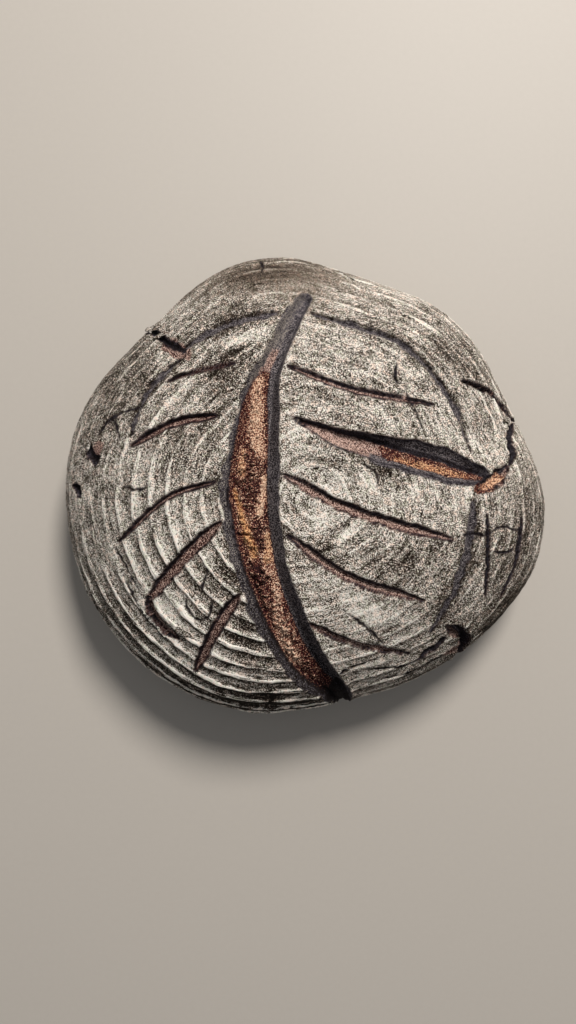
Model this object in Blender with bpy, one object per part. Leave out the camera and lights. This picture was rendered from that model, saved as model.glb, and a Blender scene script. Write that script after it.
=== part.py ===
"""A round hearth loaf of rye bread, proved in a coiled cane basket and scored with a leaf.

Run with: blender --background --python part.py

+X is to the right and +Y away from the viewer in the top view, +Z is up, and the origin is
on the table under the middle of the loaf. The loaf is one solid. It has the dome with its
basket rings, the wide burst cut down the middle, the leaf's veins and edge, and the tears
in the rim.
"""

import math
from collections import namedtuple

import bmesh
import bpy
import numpy as np

MM = 0.001

# Driving sizes of the dome
MEAN_RADIUS = 123.2 * MM
LOAF_HEIGHT = 76 * MM
WAIST_HEIGHT = 26 * MM
FOOT_SHARE = 0.90
DOME_SQUARENESS = 2.3
DOME_POWER = 0.5
CROWN_AT = np.array((4.2, -10.3)) * MM

# The dough spread unevenly: lobes round the loaf, how far each stands out, and its bearing
LOBES = (
    (1, 3.3 * MM, -135),
    (2, 3.3 * MM, 1),
    (3, 3.7 * MM, -20),
    (4, 1.4 * MM, -14),
    (5, 1.4 * MM, -32),
    (6, 1.5 * MM, -13),
    (7, 1.0 * MM, -2),
)

# Broad swellings and hollows of the crust: plan place, reach and height in mm
SWELLINGS = (
    (-70, -8, 34, 2.2),
    (-52, 62, 26, 1.6),
    (38, 62, 34, 2.0),
    (44, -50, 36, 2.4),
    (-34, -92, 24, 1.6),
    (112, 8, 18, 3.0),
    (-3, -22, 26, -1.6),
    (92, 22, 15, -2.6),
    (-70, 74, 14, -2.2),
)

# Basket rings
RING_RELIEF = 1.3 * MM
RINGS_TO_WAIST = 17
RINGS_DEEPEST_BEARING = math.radians(222)

# Fineness of the solid
SECTORS = 84
FLANK_STEPS = 5
PROFILE_POINTS = 400

# A cut: plan points in mm, half width and depth in mm, how far its bottom leans sideways as a
# share of the depth, how ragged it is, and how far it runs down over the rim
Cut = namedtuple("Cut", "path half_width depth lean ragged over_rim", defaults=(0, 0, 0))

CUTS = {
    "vein_left_1": Cut(((-35, 58), (-57, 54), (-69, 50)), 1.0, 2.0, 0.4),
    "vein_left_2": Cut(((-44, 32), (-65, 29), (-87, 18)), 1.9, 3.2, 0.3, 0.1),
    "vein_left_3": Cut(((-44, 0), (-68, -8), (-93, -29)), 1.4, 2.6, 0.2, 0.1),
    "vein_left_4": Cut(((-42, -20), (-60, -37), (-80, -60)), 2.3, 4.0, -0.2, 0.1),
    "vein_left_5": Cut(((-33, -55), (-45, -73), (-56, -95)), 2.3, 3.6, -0.2, 0.1),
    "vein_left_4_torn_end": Cut(((-78, -56), (-73, -68), (-59, -76)), 2.4, 3.4, -0.3, 0.25),
    "vein_right_1": Cut(((-9, 56), (24, 44), (62, 38)), 1.4, 2.6, 0.5, 0.1),
    "vein_right_3": Cut(((-11, 3), (22, -14), (70, -28)), 2.3, 3.6, 0.5, 0.1),
    "vein_right_4": Cut(((-9, -26), (20, -46), (57, -58)), 1.9, 3.2, 0.5, 0.1),
    "vein_right_5": Cut(((1, -69), (22, -79), (52, -86)), 1.5, 2.8, 0.4, 0.1),
    "edge_left_top": Cut(((-14, 86), (-46, 82), (-70, 60)), 1.3, 1.8, -0.4),
    "edge_left": Cut(((-68, 62), (-80, 46), (-86, 22)), 1.3, 1.8, -0.4),
    "edge_right_top": Cut(((2, 84), (48, 68), (73, 38), (81, 16)), 1.7, 2.4, -0.4),
    "edge_right": Cut(((82, -8), (80, -30), (72, -54), (62, -74)), 1.5, 2.2, 0.2, 0.1),
    "rim_crack_right_1": Cut(((89, -18), (92, -36), (92, -56)), 1.2, 2.6, 0, 0.2),
    "rim_crack_right_2": Cut(((109, -20), (107, -38), (100, -58)), 1.4, 2.8, 0, 0.2),
    "tear_left": Cut(((-56, 64), (-68, 70), (-80, 80)), 3.4, 5.5, 0, 0.3, 0.30),
    "tear_right": Cut(((78, 51), (96, 46), (107, 35)), 2.7, 5.0, -0.2, 0.3, 0.25),
    "tear_right_inner": Cut(((108, 31), (102, 23), (104, 12), (98, -3), (86, -5)), 2.6, 4.6, 0, 0.3),
    "pocket_right": Cut(((70, -69), (80, -74), (86, -82)), 4.2, 6.5, -0.3, 0.2, 0.25),
    "pocket_flap_edge": Cut(((58, -90), (68, -79), (76, -70)), 1.3, 2.6, 0.3, 0.2),
}

# The wide cut down the middle: plan points of its centre line and its half width there, in mm
SPINE = (
    (-1, 93, 2.0),
    (-9, 77, 4.6),
    (-16, 61, 5.0),
    (-22, 46, 8.6),
    (-25, 20, 11.6),
    (-28, -2, 14.2),
    (-26, -24, 13.4),
    (-21, -46, 12.4),
    (-12, -69, 12.0),
    (0, -92, 10.8),
    (13, -107, 8.6),
)
SPINE_OVER_RIM = 0.35
SPINE_DEPTH = 7.0
SPINE_SHALLOW = 2.4
# Across the wide cut, from its left lip to its right: share of half width, share of depth
SPINE_SECTION = ((-0.60, 0.55), (-0.44, 1.0), (0.10, 0.84), (0.58, 1.0), (0.84, 0.45))
CRUMB_RELIEF = 0.7

# The widest burst of the right side: its upper lip overhangs and its floor is open crumb
WIDE_VEIN = (
    (-8, 30, 0.8),
    (10, 25.5, 2.6),
    (27, 20.5, 4.6),
    (45, 14.5, 6.0),
    (62, 11.0, 7.4),
    (79, 5.5, 7.0),
    (91, 0.5, 5.0),
)
WIDE_VEIN_DEPTH = 5.6
WIDE_VEIN_SHALLOW = 1.4
WIDE_VEIN_SECTION = ((-0.66, 0.45), (-0.25, 0.88), (0.35, 1.0), (0.72, 0.8))

# Pits torn in the left rim: plan place and radius in mm
PITS = ((-110, 19, 4.6), (-117, -3, 3.8), (-93, 22, 2.8))

CUTTER_LIFT = 3.0 * MM
RIM_END_SHARE = 0.3
STATION_STEP = 7.0
SEED = 11


def clear_scene():
    """Empties the scene."""
    for old in list(bpy.data.objects):
        bpy.data.objects.remove(old)


def widest_radius(bearing):
    """Radius of the widest outline: the mean plus a cosine wave for each set of lobes."""
    radius = MEAN_RADIUS + 0 * bearing
    for count, size, peak in LOBES:
        radius = radius + size * np.cos(count * (bearing - math.radians(peak)))
    return radius


def outline_middle():
    """Middle of the outline's extents, which the origin stands under."""
    bearing = np.linspace(0, 2 * math.pi, 3600)
    x = widest_radius(bearing) * np.cos(bearing)
    y = widest_radius(bearing) * np.sin(bearing)
    return np.array(((x.min() + x.max()) / 2, (y.min() + y.max()) / 2))


MIDDLE = outline_middle()


def side_profile():
    """Crown to foot: distance walked, share of the widest radius, height.

    Above the waist the height falls as (1 - share ** squareness) ** power, and below it a
    quarter ellipse turns in to the flat foot.
    """
    upper = np.sin(np.linspace(0, math.pi / 2, PROFILE_POINTS))
    upper_height = (LOAF_HEIGHT - WAIST_HEIGHT) * (1 - upper**DOME_SQUARENESS) ** DOME_POWER
    turn = np.linspace(0, math.pi / 2, PROFILE_POINTS // 4)[1:]
    lower = FOOT_SHARE + (1 - FOOT_SHARE) * np.cos(turn)
    share = np.concatenate((upper, lower))
    height = np.concatenate((WAIST_HEIGHT + upper_height, WAIST_HEIGHT * (1 - np.sin(turn))))
    step = np.hypot(np.diff(share) * MEAN_RADIUS, np.diff(height))
    walked = np.concatenate(((0,), np.cumsum(step)))
    return walked, share, height


WALKED, SHARE, HEIGHT = side_profile()
WAIST_WALK = WALKED[PROFILE_POINTS - 1]
FOOT_WALK = WALKED[-1]
RING_PITCH = WAIST_WALK / RINGS_TO_WAIST


def swelling(x, y):
    """Height that the broad swellings add: a bell curve round each place."""
    total = 0 * x
    for at_x, at_y, reach, rise in SWELLINGS:
        away = ((x - at_x * MM) ** 2 + (y - at_y * MM) ** 2) / (reach * MM) ** 2
        total = total + rise * MM * np.exp(-away)
    return total


def dough_point(walk, bearing):
    """The smooth dough surface: walk is the distance from the crown, down to the foot.

    A ring at one distance is the outline shrunk by its share, and its middle slides from the
    crown towards the middle of the loaf.
    """
    share = np.interp(walk, WALKED, SHARE)
    height = np.interp(walk, WALKED, HEIGHT)
    radius = widest_radius(bearing)
    x = CROWN_AT[0] * (1 - share) + share * (radius * np.cos(bearing) - MIDDLE[0])
    y = CROWN_AT[1] * (1 - share) + share * (radius * np.sin(bearing) - MIDDLE[1])
    fade = np.clip((height - WAIST_HEIGHT) / (LOAF_HEIGHT - WAIST_HEIGHT) * 3, 0, 1)
    return np.stack((x, y, height + fade * swelling(x, y)), axis=-1)


def dough_normal(walk, bearing):
    """Outward normal of the dough, from two short steps on the surface."""
    small_walk, small_turn = 0.5 * MM, 0.004
    inner = np.clip(walk, small_walk * 2, None)
    down = dough_point(inner + small_walk, bearing) - dough_point(inner - small_walk, bearing)
    around = dough_point(inner, bearing + small_turn) - dough_point(inner, bearing - small_turn)
    normal = np.cross(down, around)
    return normal / np.linalg.norm(normal, axis=-1, keepdims=True)


def find_on_dough(x, y):
    """The walk and bearing whose surface point lies at a plan place inside the outline."""
    share = 0.5
    for _ in range(80):
        off_x = x - CROWN_AT[0] * (1 - share) + MIDDLE[0] * share
        off_y = y - CROWN_AT[1] * (1 - share) + MIDDLE[1] * share
        bearing = math.atan2(off_y, off_x)
        share = min(0.5 * share + 0.5 * math.hypot(off_x, off_y) / widest_radius(bearing), 1)
    return float(np.interp(share, SHARE[:PROFILE_POINTS], WALKED[:PROFILE_POINTS])), bearing


def ring_relief(walk, bearing):
    """Height of the basket rings: a wave of one pitch, deepest where the flour lines are."""
    strength = 0.62 + 0.38 * np.cos(bearing - RINGS_DEEPEST_BEARING)
    fade = np.clip((FOOT_WALK - walk) / (0.35 * (FOOT_WALK - WAIST_WALK)), 0, 1)
    return 0.5 * RING_RELIEF * strength * fade * np.cos(2 * math.pi * walk / RING_PITCH)


def mesh_object(name, points, faces, collection=None):
    """A mesh object from points and faces, with its normals turned outwards."""
    mesh = bpy.data.meshes.new(name)
    mesh.from_pydata([tuple(p) for p in points], [], faces)
    shape = bmesh.new()
    shape.from_mesh(mesh)
    bmesh.ops.recalc_face_normals(shape, faces=shape.faces)
    shape.to_mesh(mesh)
    shape.free()
    made = bpy.data.objects.new(name, mesh)
    (collection or bpy.context.scene.collection).objects.link(made)
    return made


def dough_body():
    """The whole loaf before it is cut: rings of points from the crown to the flat foot."""
    upper = np.arange(1, 2 * RINGS_TO_WAIST + 1) * RING_PITCH / 2
    lower = WAIST_WALK + (FOOT_WALK - WAIST_WALK) * np.arange(1, FLANK_STEPS + 1) / FLANK_STEPS
    walks = np.concatenate((upper, lower))
    bearings = np.arange(SECTORS) * 2 * math.pi / SECTORS
    walk, bearing = np.meshgrid(walks, bearings, indexing="ij")
    relief = ring_relief(walk, bearing)[..., None]
    grid = dough_point(walk, bearing) + relief * dough_normal(walk, bearing)
    grid[-1, :, 2] = 0
    points = [dough_point(0.0, 0.0), *grid.reshape(-1, 3)]
    last = len(walks) - 1
    faces = [(0, 1 + s, 1 + (s + 1) % SECTORS) for s in range(SECTORS)]
    for r in range(last):
        inner, outer = 1 + r * SECTORS, 1 + (r + 1) * SECTORS
        for s in range(SECTORS):
            n = (s + 1) % SECTORS
            faces.append((inner + s, outer + s, outer + n, inner + n))
    foot = 1 + last * SECTORS
    faces.append(tuple(foot + s for s in reversed(range(SECTORS))))
    return mesh_object("loaf", points, faces)


def smooth_path(points, step=STATION_STEP):
    """Points about a step apart along a smooth curve through the given ones, all in mm."""
    given = np.array(points, float)
    if len(given) == 2:
        given = np.insert(given, 1, given.mean(axis=0), axis=0)
    padded = np.vstack((2 * given[0] - given[1], given, 2 * given[-1] - given[-2]))
    found = [given[0]]
    for a, b, c, d in zip(padded, padded[1:], padded[2:], padded[3:]):
        pieces = max(1, round(np.linalg.norm((c - b)[:2]) / step))
        for t in np.arange(1, pieces + 1) / pieces:
            found.append(
                0.5 * (2 * b + (c - a) * t + (2 * a - 5 * b + 4 * c - d) * t**2
                       + (3 * b - a - 3 * c + d) * t**3)
            )
    return np.array(found)


def stations_on_dough(plan, over_rim):
    """Surface point, normal and sideways direction at each plan point, and on down the rim."""
    places = [find_on_dough(x * MM, y * MM) for x, y in plan]
    walk, bearing = places[-1]
    if over_rim:
        reach = WAIST_WALK + over_rim * (FOOT_WALK - WAIST_WALK)
        extra = max(1, round((reach - walk) / (STATION_STEP * MM)))
        places += [(walk + (reach - walk) * k / extra, bearing) for k in range(1, extra + 1)]
    walks, bearings = (np.array(v) for v in zip(*places))
    point = dough_point(walks, bearings)
    normal = dough_normal(walks, bearings)
    along = np.gradient(point, axis=0)
    side = np.cross(normal, along)
    side /= np.linalg.norm(side, axis=1, keepdims=True)
    return point, normal, side


def swept_cutter(name, point, normal, side, sections, collection):
    """A closed cutter: one cross-section of (sideways, up) offsets at each station."""
    count = len(sections[0])
    points = [
        p + s * across + n * up
        for p, n, s, section in zip(point, normal, side, sections)
        for across, up in section
    ]
    faces = [tuple(range(count))]
    for r in range(len(sections) - 1):
        for k in range(count):
            n = (k + 1) % count
            a, b = r * count, (r + 1) * count
            faces.append((a + k, b + k, b + n, a + n))
    faces.append(tuple(reversed(range((len(sections) - 1) * count, len(sections) * count))))
    cutter = mesh_object(name, points, faces, collection)
    cutter.hide_render = True
    cutter.display_type = "WIRE"
    return cutter


def narrow_cutter(name, cut, collection, random):
    """A knife cut or a tear: a trough that thins out to its ends."""
    plan = smooth_path(cut.path)
    point, normal, side = stations_on_dough(plan, cut.over_rim)
    sections = []
    for share in np.linspace(0, 1, len(point)):
        full = 0.2 + 0.8 * min(1, share / 0.25, (1 - share) / 0.35)
        ragged = 1 + cut.ragged * random.uniform(-1, 1, 3)
        wide = cut.half_width * MM * full * ragged[0]
        deep = cut.depth * MM * full * ragged[1]
        lean = cut.lean * deep + 0.3 * cut.ragged * wide * (ragged[2] - 1)
        flare = wide * (1 + CUTTER_LIFT / deep * 0.5)
        sections.append((
            (-flare, CUTTER_LIFT),
            (-0.35 * wide + lean, -deep),
            (0.35 * wide + lean, -deep),
            (flare, CUTTER_LIFT),
        ))
    return swept_cutter(name, point, normal, side, sections, collection)


def wide_cutter(name, line, section, depth, shallow, over_rim, collection, random):
    """A burst cut: the cross-section's shares of its width and depth, with a crumb floor."""
    way = smooth_path([(x, y, w) for x, y, w in line])
    point, normal, side = stations_on_dough(way[:, :2], over_rim)
    beyond = len(point) - len(way)
    thinning = np.linspace(1, RIM_END_SHARE, beyond + 1)[1:]
    half_widths = np.concatenate((way[:, 2], way[-1, 2] * thinning))
    widest = half_widths.max()
    sections = []
    for wide in half_widths:
        deep = shallow + (depth - shallow) * min(1, wide / (0.75 * widest))
        offsets = [(-wide - 1, CUTTER_LIFT / MM), (-wide, 0)]
        for across, down in section:
            rough = CRUMB_RELIEF * random.uniform(-1, 1) * (down > 0.8)
            offsets.append((across * wide, -down * deep + rough * deep / depth))
        offsets += [(wide, 0), (wide + 1, CUTTER_LIFT / MM)]
        sections.append([(a * MM, u * MM) for a, u in offsets])
    return swept_cutter(name, point, normal, side, sections, collection)


def pit_cutter(name, x, y, radius, collection, random):
    """A torn pit: a ball with uneven points, let in by a little more than half."""
    walk, bearing = find_on_dough(x * MM, y * MM)
    shape = bmesh.new()
    bmesh.ops.create_icosphere(shape, subdivisions=2, radius=radius * MM)
    rough = 1 + 0.16 * random.uniform(-1, 1, len(shape.verts))
    centre = dough_point(walk, bearing)
    for vertex, scale in zip(shape.verts, rough):
        vertex.co = [c + v * scale for c, v in zip(centre, vertex.co)]
    mesh = bpy.data.meshes.new(name)
    shape.to_mesh(mesh)
    shape.free()
    cutter = bpy.data.objects.new(name, mesh)
    collection.objects.link(cutter)
    cutter.hide_render = True
    cutter.display_type = "WIRE"
    return cutter


def all_cutters():
    """Every cut, burst, tear and pit, in one collection for the Boolean."""
    random = np.random.default_rng(SEED)
    collection = bpy.data.collections.new("cutters")
    bpy.context.scene.collection.children.link(collection)
    wide_cutter("spine", SPINE, SPINE_SECTION, SPINE_DEPTH, SPINE_SHALLOW,
                SPINE_OVER_RIM, collection, random)
    wide_cutter("wide_vein", WIDE_VEIN, WIDE_VEIN_SECTION, WIDE_VEIN_DEPTH,
                WIDE_VEIN_SHALLOW, 0, collection, random)
    for name, cut in CUTS.items():
        narrow_cutter(name, cut, collection, random)
    for number, (x, y, radius) in enumerate(PITS, 1):
        pit_cutter(f"pit_{number}", x, y, radius, collection, random)
    return collection


def floury_crust():
    """Dark rye crust dusted with flour."""
    crust = bpy.data.materials.new("floury_rye_crust")
    crust.use_nodes = True
    shader = crust.node_tree.nodes["Principled BSDF"]
    shader.inputs["Base Color"].default_value = (0.21, 0.17, 0.13, 1)
    shader.inputs["Roughness"].default_value = 0.85
    shader.inputs["Metallic"].default_value = 0
    return crust


def main():
    clear_scene()
    loaf = dough_body()
    cuts = loaf.modifiers.new("cuts", "BOOLEAN")
    cuts.operation = "DIFFERENCE"
    cuts.operand_type = "COLLECTION"
    cuts.collection = all_cutters()
    cuts.solver = "EXACT"
    loaf.data.materials.append(floury_crust())


main()
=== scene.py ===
"""The looks of a round hearth loaf of rye bread with a scored and burst leaf.

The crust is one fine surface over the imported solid: basket rings, cuts, tears and flour.
Strips of torn crumb lie in the two bursts. Sizes in the tables are millimetres.
"""

import math
from collections import namedtuple

import bpy
import numpy as np
from bpy.props import FloatProperty, FloatVectorProperty, PointerProperty
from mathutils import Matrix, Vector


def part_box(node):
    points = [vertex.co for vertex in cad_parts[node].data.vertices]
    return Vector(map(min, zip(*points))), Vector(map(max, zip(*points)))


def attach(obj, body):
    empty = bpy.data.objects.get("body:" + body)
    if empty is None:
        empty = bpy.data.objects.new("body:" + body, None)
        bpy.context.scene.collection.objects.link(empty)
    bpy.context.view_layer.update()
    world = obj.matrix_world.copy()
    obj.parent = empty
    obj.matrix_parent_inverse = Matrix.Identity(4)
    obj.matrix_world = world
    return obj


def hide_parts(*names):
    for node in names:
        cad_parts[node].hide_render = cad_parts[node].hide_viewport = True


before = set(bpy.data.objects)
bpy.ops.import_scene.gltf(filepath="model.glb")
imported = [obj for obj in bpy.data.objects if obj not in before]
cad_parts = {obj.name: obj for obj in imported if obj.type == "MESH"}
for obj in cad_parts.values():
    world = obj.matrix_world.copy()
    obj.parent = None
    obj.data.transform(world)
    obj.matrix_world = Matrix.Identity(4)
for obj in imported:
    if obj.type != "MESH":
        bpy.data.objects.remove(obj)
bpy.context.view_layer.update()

bl_info = {
    "name": "Rye Hearth Loaf",
    "version": (1, 0, 0),
    "blender": (4, 5, 0),
    "location": "3D View > Sidebar > Loaf",
    "description": "Builds a scored rye loaf: floury crust, torn crumb, and a photo stage",
    "category": "Add Mesh",
}

MM = 0.001
CAD_NODE = "loaf"
CAD_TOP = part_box(CAD_NODE)[1][2]

# Dome, as in the solid
MEAN_RADIUS = 123.2 * MM
LOAF_HEIGHT = 76 * MM
WAIST_HEIGHT = 26 * MM
FOOT_SHARE = 0.90
DOME_SQUARENESS = 2.3
DOME_POWER = 0.5
CROWN_AT = np.array((4.2, -10.3)) * MM
LOBES = (
    (1, 3.3 * MM, -135),
    (2, 3.3 * MM, 1),
    (3, 3.7 * MM, -20),
    (4, 1.4 * MM, -14),
    (5, 1.4 * MM, -32),
    (6, 1.5 * MM, -13),
    (7, 1.0 * MM, -2),
)
SWELLINGS = (
    (-70, -8, 34, 2.2),
    (-52, 62, 26, 1.6),
    (38, 62, 34, 2.0),
    (44, -50, 36, 2.4),
    (-34, -92, 24, 1.6),
    (112, 8, 18, 3.0),
    (-3, -22, 26, -1.6),
    (92, 22, 15, -2.6),
    (-70, 74, 14, -2.2),
)
RINGS_TO_WAIST = 17
PROFILE_POINTS = 400

# A cut: plan points, half width, depth, where its bottom lies across it, from -1 to 1 with 1
# on its left going along, how ragged it is, how far it runs down over the rim, and how dusty
# the dough in it is, below 0 where it baked darker
Cut = namedtuple(
    "Cut", "path half_width depth lean ragged over_rim dusty", defaults=(0, 0, 0, 0)
)
VEINS = {
    "left_1": Cut(((-35, 58), (-57, 54), (-69, 50)), 1.1, 1.5, -0.5, 0.1, 0, -0.5),
    "left_2": Cut(((-44, 32), (-65, 29), (-87, 18)), 2.1, 2.3, -0.6, 0.12, 0, -0.9),
    "left_3": Cut(((-44, 0), (-68, -8), (-93, -29)), 1.4, 2.0, -0.5, 0.12, 0, -0.35),
    "left_4": Cut(((-42, -20), (-60, -37), (-80, -60)), 3.1, 3.0, -0.6, 0.12, 0, -0.75),
    "left_5": Cut(((-33, -55), (-45, -73), (-56, -95)), 2.8, 2.9, -0.6, 0.12, 0, -0.8),
    "left_4_end": Cut(
        ((-79, -57), (-77, -65), (-71, -73), (-64, -78)), 2.6, 2.2, -0.3, 0.2, 0, -0.5
    ),
    "right_1": Cut(((-9, 56), (24, 44), (62, 38)), 1.6, 1.9, 0.4, 0.12, 0, 0.1),
    "right_3": Cut(((-11, 3), (22, -14), (70, -28)), 2.5, 2.7, 0.46, 0.14, 0, 0.0),
    "right_4": Cut(((-9, -26), (20, -46), (57, -58)), 2.1, 2.5, 0.44, 0.14, 0, 0.3),
    "right_5": Cut(((1, -69), (22, -79), (52, -86)), 1.6, 2.1, 0.4, 0.14, 0, 0.3),
}
LEAF_EDGES = {
    "edge_left_top": Cut(
        ((-14, 84), (-28, 81.5), (-41, 78), (-54, 72), (-62, 66)), 2.8, 1.6, -0.6, 0.3, 0, -0.1
    ),
    "edge_left": Cut(
        ((-61, 62), (-71, 54.5), (-78.5, 45), (-84, 35), (-86, 24)), 1.6, 1.1, -0.4, 0.5
    ),
    "edge_right_top": Cut(((2, 84), (48, 68), (73, 38), (81, 16)), 2.2, 2.0, 0.5, 0.35, 0, -0.1),
    "edge_right": Cut(((82, -8), (80, -30), (74, -52), (62, -74)), 2.9, 1.7, 0.3, 0.5, 0, -0.2),
}
TEARS = {
    "notch_left": Cut(((-61, 66), (-70, 71.5), (-80, 80)), 1.6, 2.2, 0, 0.5, 0.08),
    "notch_right": Cut(((78, 51), (87, 49), (96, 46), (107, 35)), 1.9, 4.0, -0.2, 0.4, 0.25),
    "notch_inner": Cut(((108, 31), (104, 24), (104.5, 15), (102, 9)), 1.8, 3.0, 0, 0.45),
    "vein_end": Cut(((86, -3), (91, -0.5), (96, 3), (100, 8)), 4.2, 2.8, 0.2, 0.6),
    "pocket": Cut(((70, -72), (77.5, -76), (82, -81), (82, -89)), 2.9, 5.5, 0.5, 0.35, 0.03),
    "pocket_flap": Cut(((70, -78.5), (64, -84), (57, -90)), 1.9, 2.6, 0.2, 0.5),
    "flake_left": Cut(((-113, 22), (-111, 16), (-107, 12), (-104, 13)), 2.1, 2.2, 0, 0.55),
    "flake_left_low": Cut(((-121, -1), (-117, -3), (-116, -7)), 1.7, 2.0, 0, 0.55),
    "rim_crack_1": Cut(((89, -16), (90, -36), (90, -57)), 1.0, 1.8, 0, 0.25),
    "rim_crack_2": Cut(((109, -18), (107, -38), (100, -58)), 1.2, 1.8, 0, 0.3),
}
# Half width of the crumb bared in the tear at the widest vein's end
VEIN_END_CRUMB = 3.3
# Places where a flake of crust came off: plan place, two reaches, turn in degrees. The dough
# that it bares baked darker
FLAKED_DUSTY = -0.55
FLAKED_PLACES = (
    (-66, 68, 9.0, 4.5, -35),
    (-106, 17, 4.5, 3.0, 60),
    (-75, -67, 4.0, 2.2, -60),
    (76, -86, 4.5, 2.2, 30),
)
# Flakes of crust that stand up: plan place, length, width, turn in degrees, lift of the far end
FLAKES = (
    (-80, 82, 11, 5.0, 155, 1.6),
    (-74, 77, 9, 3.6, 200, 1.0),
    (-112, 20, 8, 4.2, 100, 1.4),
    (-60, -76, 11, 5.0, 140, 0.9),
    (74, -81, 10, 5.5, 60, 1.0),
    (104, 33, 8, 4.0, 200, 1.2),
)
# Hairline cracks in the drier crust
HAIRLINE = Cut((), 0.6, 0.7, 0.01, 0.5)
HAIRLINES = (
    ((76, -26), (83, -25), (89, -27)),
    ((90, -25), (97, -22), (107, -24)),
    ((92, -34), (99, -35), (105, -33)),
    ((20, -64), (30, -72), (38, -80)),
    ((-96, -32), (-90, -42), (-82, -58)),
    ((-92, -46), (-84, -62), (-70, -80)),
    ((30, -94), (48, -93), (64, -88)),
    ((40, -100), (56, -96), (72, -87)),
    ((14, -97), (24, -92), (36, -88)),
    ((48, 44), (52, 36), (56, 26)),
    ((44, 58), (43, 52), (44, 47)),
    ((-48, -42), (-50, -49), (-52, -55)),
    ((-46, -58), (-48, -66), (-55, -67), (-59, -61), (-59, -57)),
    ((27, 8), (33.5, 3.5), (33, -3)),
    ((-106, 24), (-101, 31), (-93, 35), (-84, 37)),
    ((-99, 34), (-95, 28), (-93, 21)),
    ((-90, -2), (-84, -4), (-79, -3)),
    ((-24, 118), (-22, 112), (-23, 108)),
    ((18, 117), (20, 110), (26, 106)),
)

# The wide cut down the middle: plan points and half width
SPINE = (
    (-1, 92, 3.6),
    (-9, 77, 5.0),
    (-16, 61, 5.4),
    (-22, 46, 8.6),
    (-25, 20, 11.6),
    (-28, -2, 14.2),
    (-26, -24, 13.4),
    (-21, -46, 12.4),
    (-12, -69, 12.0),
    (0.5, -92, 10.6),
    (15, -108, 7.6),
)
SPINE_OVER_RIM = 0.16
SPINE_SHALLOW = 2.4
# Share of the half width against share of the depth, from the left lip to the right
SPINE_SECTION = (
    (-1.0, 0.0), (-0.84, 0.16), (-0.70, 0.42), (-0.60, 0.80), (-0.48, 0.88), (-0.30, 0.78),
    (0.10, 0.74), (0.42, 0.84), (0.54, 1.0), (0.66, 0.76), (0.86, 0.32), (0.95, 0.10), (1.0, 0.0),
)
# Where the crumb starts and ends across the cut, at shares of the way along it
SPINE_CRUMB = (
    (0.16, -0.30, 0.10), (0.20, -0.64, 0.22), (0.25, -0.80, 0.34), (0.31, -0.82, 0.46),
    (0.38, -0.68, 0.56), (0.50, -0.64, 0.56), (0.62, -0.60, 0.44), (0.76, -0.58, 0.31),
    (0.86, -0.62, 0.25), (0.93, -0.58, 0.12),
)
SPINE_CRUMB_START = 0.175
SPINE_CRUMB_END = 0.92
VEIN_CRUMB = ((0.46, -0.10, 0.36), (0.60, -0.58, 0.24), (0.98, -0.60, 0.16))
VEIN_CRUMB_START = 0.48
VEIN_CRUMB_END = 0.97
WIDE_VEIN = (
    (-9, 31.5, 0.8),
    (6, 25, 3.0),
    (16, 20.5, 4.6),
    (36, 15.6, 6.4),
    (51, 12.4, 7.8),
    (65, 9.2, 8.2),
    (76, 6.2, 7.0),
    (86, 4.2, 4.2),
)
WIDE_VEIN_SHALLOW = 1.4
# Pale torn crumb in the bursts: how golden it is, then plan points, half width and paleness
Ribbon = namedtuple("Ribbon", "golden path")
CRUMB_RIBBONS = (
    Ribbon(0.1, ((-24, 50, 3.2, 0.62), (-25.2, 34, 4.0, 0.72), (-24.8, 22, 3.8, 0.68),
                 (-22, 13, 2.4, 0.6))),
    Ribbon(0.4, ((-31, 15, 1.8, 0.66), (-32, 4, 2.0, 0.7))),
    Ribbon(0.7, ((-35, -4, 1.6, 0.6), (-32.5, -14, 1.8, 0.74), (-29, -26, 2.2, 0.72),
                 (-26, -36, 2.2, 0.64))),
    Ribbon(0.1, ((-20, 2, 2.2, 0.84), (-22, -6, 2.5, 0.90), (-23.5, -16, 2.0, 0.68))),
    Ribbon(0.4, ((-19, -27, 2.2, 0.64), (-19, -38, 3.0, 0.7))),
    Ribbon(0.0, ((-20.6, -36, 2.6, 0.56), (-15.8, -49, 2.6, 0.46), (-14.2, -61, 3.0, 0.52),
                 (-12.6, -73, 3.6, 0.58), (-9.0, -84, 3.8, 0.62), (-5.0, -91, 3.2, 0.6))),
    Ribbon(0.5, ((44, 11, 1.6, 0.40), (52, 9, 2.2, 0.5), (60, 7.3, 2.4, 0.58),
                 (72, 5.0, 2.2, 0.55), (80, 3.6, 1.8, 0.3))),
    Ribbon(0.3, ((87, -2.4, 2.2, 0.4), (91.5, 0.2, 3.0, 0.6), (96, 3.2, 3.0, 0.6),
                 (99.5, 7, 2.2, 0.4))),
)
CRUMB_BASE_PALENESS = -0.24

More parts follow.
